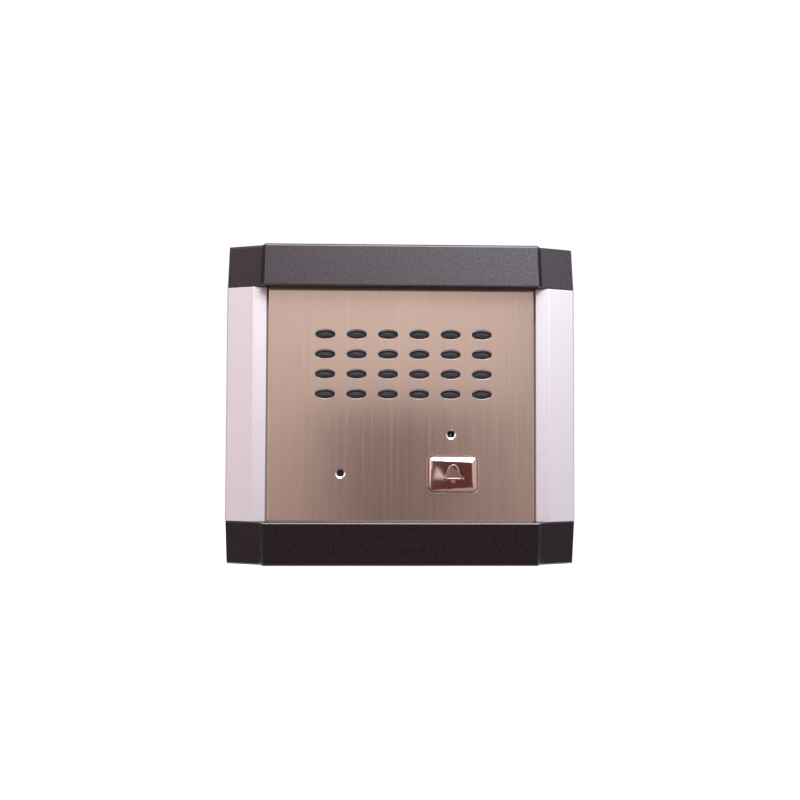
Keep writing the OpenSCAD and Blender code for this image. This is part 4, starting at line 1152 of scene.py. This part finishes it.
class STATION_OT_push_button(bpy.types.Operator):
    """Shapes the bright push-button: crowned face, four bevels, lip, stem and a raised bell mark"""
    bl_idname = "station.push_button"
    bl_label = "Push-button"

    def blank(self, s, size, place, foot):
        """The crowned and canted face, drawn back to the foot of the lip, with round corners."""
        (w, h), (x, top, z) = size, place
        middle = out(x, top, z)
        down, aside = s.button_cant
        clear_selection()
        bpy.ops.mesh.primitive_grid_add(x_subdivisions=FACE_GRID[0], y_subdivisions=FACE_GRID[1], size=1,
                                        location=middle, rotation=(math.pi / 2, 0, 0))
        bpy.context.active_object.scale = (w, h, 1)
        button = named("push_button")
        work_on(button)
        pick(button, "VERT", at(*middle))
        span = math.hypot(w / 2 - s.button_bevel, h / 2 - s.button_bevel)
        bpy.ops.transform.translate(value=(0, -s.button_crown, 0), use_proportional_edit=True,
                                    proportional_edit_falloff="INVERSE_SQUARE", proportional_size=span)
        bpy.ops.mesh.select_all(action="SELECT")
        for turn, axis in ((-down, "X"), (aside, "Z")):
            bpy.ops.transform.rotate(value=turn, orient_axis=axis, orient_type="GLOBAL",
                                     center_override=middle)
        push_out(y=top - foot)
        stretch((1, 0, 1), out(x, foot, z))
        turn_out()
        outline = rounded(w, h, s.button_corner, 8)
        carve(button, drawn("blank", facing(outline, x, top + BLANK_FRONT, z), y=BLANK_LENGTH), "INTERSECT")
        return button

    def bevels(self, s, button, size, place):
        """Cuts the bevels on the right, left, top and bottom."""
        (w, h), (x, top, z) = size, place
        work_on(button)
        sides = ((1, 0), (-1, 0), (0, 1), (0, -1))
        for (sx, sz), share, lean in zip(sides, s.button_shares, s.button_leans):
            edge = out(x + sx * w / 2, top - s.button_bevel_depth * share, z + sz * h / 2)
            slope = s.button_bevel_depth * lean
            split(edge, (sx * slope, -s.button_bevel, sz * slope), use_fill=True, clear_outer=True)
        turn_out()
        soften(button, FACE_BREAK, 2, 24)

    def bell(self, s, x, depth, z):
        """A raised outline of a plain hand bell with its clapper."""
        unit, rise = s.mark_width / 8, s.button_crown + MARK_RISE
        right = [(u * unit, v * unit) for u, v in reversed(BELL_HALF)]
        left = [(-u, v) for u, v in reversed(right[:-1])]
        bell = trace("bell", facing(right + left, x, depth, z))
        push_out(y=-rise)
        bpy.ops.mesh.inset(thickness=BELL_LINE * unit)
        push_out(y=rise * BELL_DISH)
        turn_out()
        low, front = z - CLAPPER_DOWN * unit, depth + rise * CLAPPER_RISE
        clapper = post("clapper", CLAPPER_RADIUS * unit, out(x, depth, low), out(x, front, low), 24)
        for piece in (bell, clapper):
            soften(piece, MARK_BREAK)
        return join(bell, clapper)

    def execute(self, context):
        s = context.scene.station_sizes
        low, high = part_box("button_cap")
        x, z = middle_of("button_cap")
        w, h = button_size(s)
        down, aside = s.button_cant
        fall = w / 2 * math.sin(aside) + h / 2 * math.sin(down)
        top = -low.y - s.button_crown - fall * FALL_SHARE
        behind = FACE - s.plate_sheet - PLAY
        button = self.blank(s, (w, h), (x, top, z), behind - BUTTON_FLANGE)
        self.bevels(s, button, (w, h), (x, top, z))
        lip = drawn("lip", facing(rounded(w + 2 * s.button_lip, h + 2 * s.button_lip, s.button_corner),
                                  x, behind, z), y=BUTTON_FLANGE)
        soften(lip, FLANGE_BREAK)
        stem = post("stem", STEM_RADIUS, out(x, behind - STEM_START, z), out(x, -high.y, z))
        soften(stem, STEM_BREAK)
        mark = self.bell(s, x, top + MARK_FOOT, z + MARK_UP)
        settle(join(button, lip, stem, mark), "button", "chrome", "button_cap")
        return {"FINISHED"}


class STATION_OT_back_cover(bpy.types.Operator):
    """Cuts the sheet cover of the back with its wall-screw holes, cable hole and countersinks"""
    bl_idname = "station.back_cover"
    bl_label = "Back cover"

    def sink(self, x, z):
        """The cutter of a back screw's countersink."""
        wide = SCREW_HEAD + SINK_PLAY
        flare = (wide - SCREW_HOLE) / COVER_SHEET
        mouth, tip = wide + flare * PAST, SCREW_HOLE - flare * PAST
        cone = post("sink", mouth, out(x, -PAST, z), out(x, COVER_SHEET + PAST, z))
        work_on(cone)
        pick(cone, "VERT", lambda p: p.y < -COVER_SHEET)
        stretch((tip / mouth, 1, tip / mouth), out(x, COVER_SHEET, z))
        done()
        return cone

    def execute(self, context):
        cover = block("sheet_cover", *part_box("back_cover"))
        work_on(cover)
        pick(cover, "EDGE", lambda a, b: abs(a.x - b.x) < NEAR and abs(a.z - b.z) < NEAR)
        bpy.ops.mesh.bevel(offset=COVER_CORNER, segments=5, affect="EDGES")
        done()
        bolts = next(mount["dims"] for mount in frame["record"]["mounts"] if mount["kind"] == "bolt_pattern")
        radius, width, height = (bolts[key] * MM for key in ("hole_r_mm", "spacing_x_mm", "spacing_y_mm"))
        holes = [(x, z, radius, 36) for x, z in corners(width / 2, height / 2)]
        holes.append((*middle_of("cable_grommet"), CABLE_HOLE, 48))
        for x, z, r, sides in holes:
            carve(cover, post("hole", r, out(x, -PAST, z), out(x, COVER_SHEET + PAST, z), sides))
        for x, z in corners(*back_screw()):
            carve(cover, self.sink(x, z))
        clean(cover)
        soften(cover, COVER_BREAK, 2, 40)
        settle(cover, "housing", "sheet", "back_cover")
        return {"FINISHED"}


class STATION_OT_back_screws(bpy.types.Operator):
    """Makes the four countersunk screws of the back cover, each with a cross recess"""
    bl_idname = "station.back_screws"
    bl_label = "Back screws"

    def execute(self, context):
        x, z = back_screw()
        screw = post("cover_screws", SCREW_HEAD, out(x, 0, z), out(x, COVER_SHEET, z))
        work_on(screw)
        pick(screw, "FACE", lambda p, n: n.y < -0.9)
        stretch((SCREW_SHANK / SCREW_HEAD, 1, SCREW_SHANK / SCREW_HEAD), out(x, COVER_SHEET, z))
        push_out(y=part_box("back_screws")[0].y + COVER_SHEET)
        turn_out()
        for u, v in ((CROSS_ARM, CROSS_HALF), (CROSS_HALF, CROSS_ARM)):
            carve(screw, block("cross", out(x - u, CROSS_DEPTH, z - v), out(x + u, -PAST, z + v)))
        soften(screw, SCREW_BREAK, 2, 40)
        settle(in_corners(screw), "housing", "steel", "back_screws")
        return {"FINISHED"}


class STATION_OT_grommet(bpy.types.Operator):
    """Turns the rubber grommet of the cable hole"""
    bl_idname = "station.grommet"
    bl_label = "Cable grommet"

    def execute(self, context):
        low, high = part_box("cable_grommet")
        x, z = middle_of("cable_grommet")
        bore, neck, lip, r = CABLE_BORE, GROMMET_NECK, (high.x - low.x) / 2, GROMMET_ROUND
        seat, lip_end, end = COVER_SHEET, COVER_SHEET + GROMMET_LIP, -low.y
        profile = [(bore, r), (bore + r, 0), (neck - r, 0), (neck, r), (neck, seat), (lip - r, seat),
                   (lip, seat + r), (lip, lip_end - r), (lip - r, lip_end), (neck, lip_end), (neck, end - r),
                   (neck - r, end), (bore + r, end), (bore, end - r)]
        grommet = trace("turned_grommet", [out(x + u, depth, z) for u, depth in profile])
        bpy.ops.mesh.delete(type="ONLY_FACE")
        bpy.ops.mesh.select_all(action="SELECT")
        bpy.ops.mesh.spin(steps=48, angle=2 * math.pi, center=(x, 0, z), axis=(0, 1, 0))
        turn_out()
        settle(grommet, "housing", "rubber", "cable_grommet")
        return {"FINISHED"}


class STATION_OT_stage(bpy.types.Operator):
    """Sets the pale floor, the soft studio light and the camera"""
    bl_idname = "station.stage"
    bl_label = "Stage"

    def lamp(self, name, place, target, size, power, tint):
        """A rectangular lamp that shines towards a target."""
        clear_selection()
        bpy.ops.object.light_add(type="AREA", location=place)
        lamp = bpy.context.active_object
        lamp.name = lamp.data.name = name
        lamp.data.shape = "RECTANGLE"
        lamp.data.size, lamp.data.size_y = size
        lamp.data.energy, lamp.data.color = power, tint
        lamp.rotation_euler = (Vector(target) - Vector(place)).to_track_quat("-Z", "Y").to_euler()

    def pane(self, tree, toward):
        """Share of the bright pane in a direction, within its slanted edges."""
        share = None
        for across, up, start, full in PANE_EDGES:
            slant = node(tree, "VectorMath", operation="DOT_PRODUCT")
            slant.inputs[1].default_value = (across, 0, up)
            tree.links.new(toward, slant.inputs[0])
            inside = spread(tree, slant.outputs["Value"], 0.0, 1.0, start, full)
            if share:
                both = node(tree, "Math", operation="MINIMUM")
                tree.links.new(share, both.inputs[0])
                tree.links.new(inside, both.inputs[1])
                inside = both.outputs[0]
            share = inside
        return share

    def sky(self):
        """White for the camera; for the part a studio, bright beside and above, dark about the camera."""
        world = bpy.data.worlds.new("studio")
        bpy.context.scene.world = world
        world.use_nodes = True
        tree = world.node_tree
        tree.nodes.clear()
        toward = node(tree, "TexCoord").outputs["Generated"]
        way = node(tree, "SeparateXYZ")
        tree.links.new(toward, way.inputs["Vector"])
        across, along, up = (spread(tree, way.outputs[axis], 0.0, 1.0, -1.0, 1.0) for axis in "XYZ")
        walls = ramp(tree, up, *WALLS_UP)
        walls = blend(tree, "MULTIPLY", 1.0, walls, ramp(tree, across, *WALLS_ACROSS))
        sides = darkened(tree, ramp(tree, across, *SIDES_ACROSS), up, (0.1, 0.1, 0.1), 0.30, 0.52)
        unlit = blend(tree, "MULTIPLY", 1.0, ramp(tree, across, *UNLIT_ACROSS), ramp(tree, up, *UNLIT_UP))
        core = ramp(tree, up, *UNLIT_COLOURS)
        front = blend(tree, "MIX", unlit, blend(tree, "ADD", 1.0, walls, sides), core)
        front = blend(tree, "MIX", self.pane(tree, toward), front, PANE_COLOUR)
        studio = blend(tree, "MIX", ramp(tree, along, *BEHIND), front, BEHIND_COLOUR)
        path = node(tree, "LightPath")
        shown = blend(tree, "MIX", path.outputs["Is Camera Ray"], studio, WHITE)
        ground = node(tree, "Background", Strength=1.0)
        tree.links.new(shown, ground.inputs["Color"])
        tree.links.new(ground.outputs["Background"], node(tree, "OutputWorld").inputs["Surface"])

    def floor(self, rgb):
        """A pale floor that glows a little for the camera."""
        clear_selection()
        bpy.ops.mesh.primitive_grid_add(x_subdivisions=8, y_subdivisions=8, size=FLOOR_SIZE,
                                        location=FLOOR_PLACE)
        floor = named("floor")
        material, tree, shader, place = bare_finish("pale_floor", Roughness=0.9, Specular_IOR_Level=0.1)
        mottle = noise(tree, place, 20)
        tree.links.new(tinted(tree, mottle, rgb, 0.985, 1.01), shader.inputs["Base Color"])
        seen = node(tree, "LightPath").outputs["Is Camera Ray"]
        glow = node(tree, "Emission", Color=(*WHITE, 1))
        tree.links.new(spread(tree, seen, 0.0, FLOOR_GLOW, 0.0, 1.0), glow.inputs["Strength"])
        both = node(tree, "AddShader")
        tree.links.new(shader.outputs["BSDF"], both.inputs[0])
        tree.links.new(glow.outputs["Emission"], both.inputs[1])
        tree.links.new(both.outputs["Shader"], tree.nodes["Material Output"].inputs["Surface"])
        floor.data.materials.append(material)

    def camera(self):
        """The camera that was fitted to the photograph."""
        clear_selection()
        bpy.ops.object.camera_add(location=CAMERA_PLACE, rotation=CAMERA_TURN)
        camera = bpy.context.active_object
        camera.name = camera.data.name = "photo_camera"
        camera.data.sensor_fit, camera.data.sensor_width = "HORIZONTAL", CAMERA_SENSOR
        camera.data.lens, camera.data.clip_start = CAMERA_LENS, 5 * MM
        bpy.context.scene.camera = camera
        clear_selection()

    def execute(self, context):
        context.scene.view_settings.view_transform = "Standard"
        self.sky()
        self.floor(context.scene.station_colours.floor)
        for lamp in LAMPS:
            self.lamp(*lamp)
        self.camera()
        return {"FINISHED"}


class STATION_PT_panel(bpy.types.Panel):
    """Lists the station's pieces, sizes and colours"""
    bl_idname = "STATION_PT_panel"
    bl_label = "Intercom station"
    bl_space_type = "VIEW_3D"
    bl_region_type = "UI"
    bl_category = "Station"

    def draw(self, context):
        for step in STEPS:
            self.layout.operator(step.bl_idname)
        for group in (context.scene.station_sizes, context.scene.station_colours):
            column = self.layout.column(align=True)
            for key in group.__annotations__:
                column.prop(group, key)


STEPS = (STATION_OT_inside, STATION_OT_rails, STATION_OT_caps, STATION_OT_plugs, STATION_OT_front_plate,
         STATION_OT_grille_cloth, STATION_OT_push_button, STATION_OT_back_cover, STATION_OT_back_screws,
         STATION_OT_grommet, STATION_OT_stage)
CLASSES = (StationSizes, StationColours, *STEPS, STATION_PT_panel)


def register():
    """Registers the classes and hangs the sizes and colours on the scene."""
    for item in CLASSES:
        bpy.utils.register_class(item)
    bpy.types.Scene.station_sizes = bpy.props.PointerProperty(type=StationSizes)
    bpy.types.Scene.station_colours = bpy.props.PointerProperty(type=StationColours)


def unregister():
    """Takes the sizes and colours off the scene, and the classes out."""
    del bpy.types.Scene.station_colours
    del bpy.types.Scene.station_sizes
    for item in reversed(CLASSES):
        bpy.utils.unregister_class(item)


def main():
    """Makes the whole station."""
    register()
    bpy.ops.station.inside()
    bpy.ops.station.rails()
    bpy.ops.station.caps()
    bpy.ops.station.plugs()
    bpy.ops.station.front_plate()
    bpy.ops.station.grille_cloth()
    bpy.ops.station.push_button()
    bpy.ops.station.back_cover()
    bpy.ops.station.back_screws()
    bpy.ops.station.grommet()
    bpy.ops.station.stage()


if __name__ == "__main__":
    main()
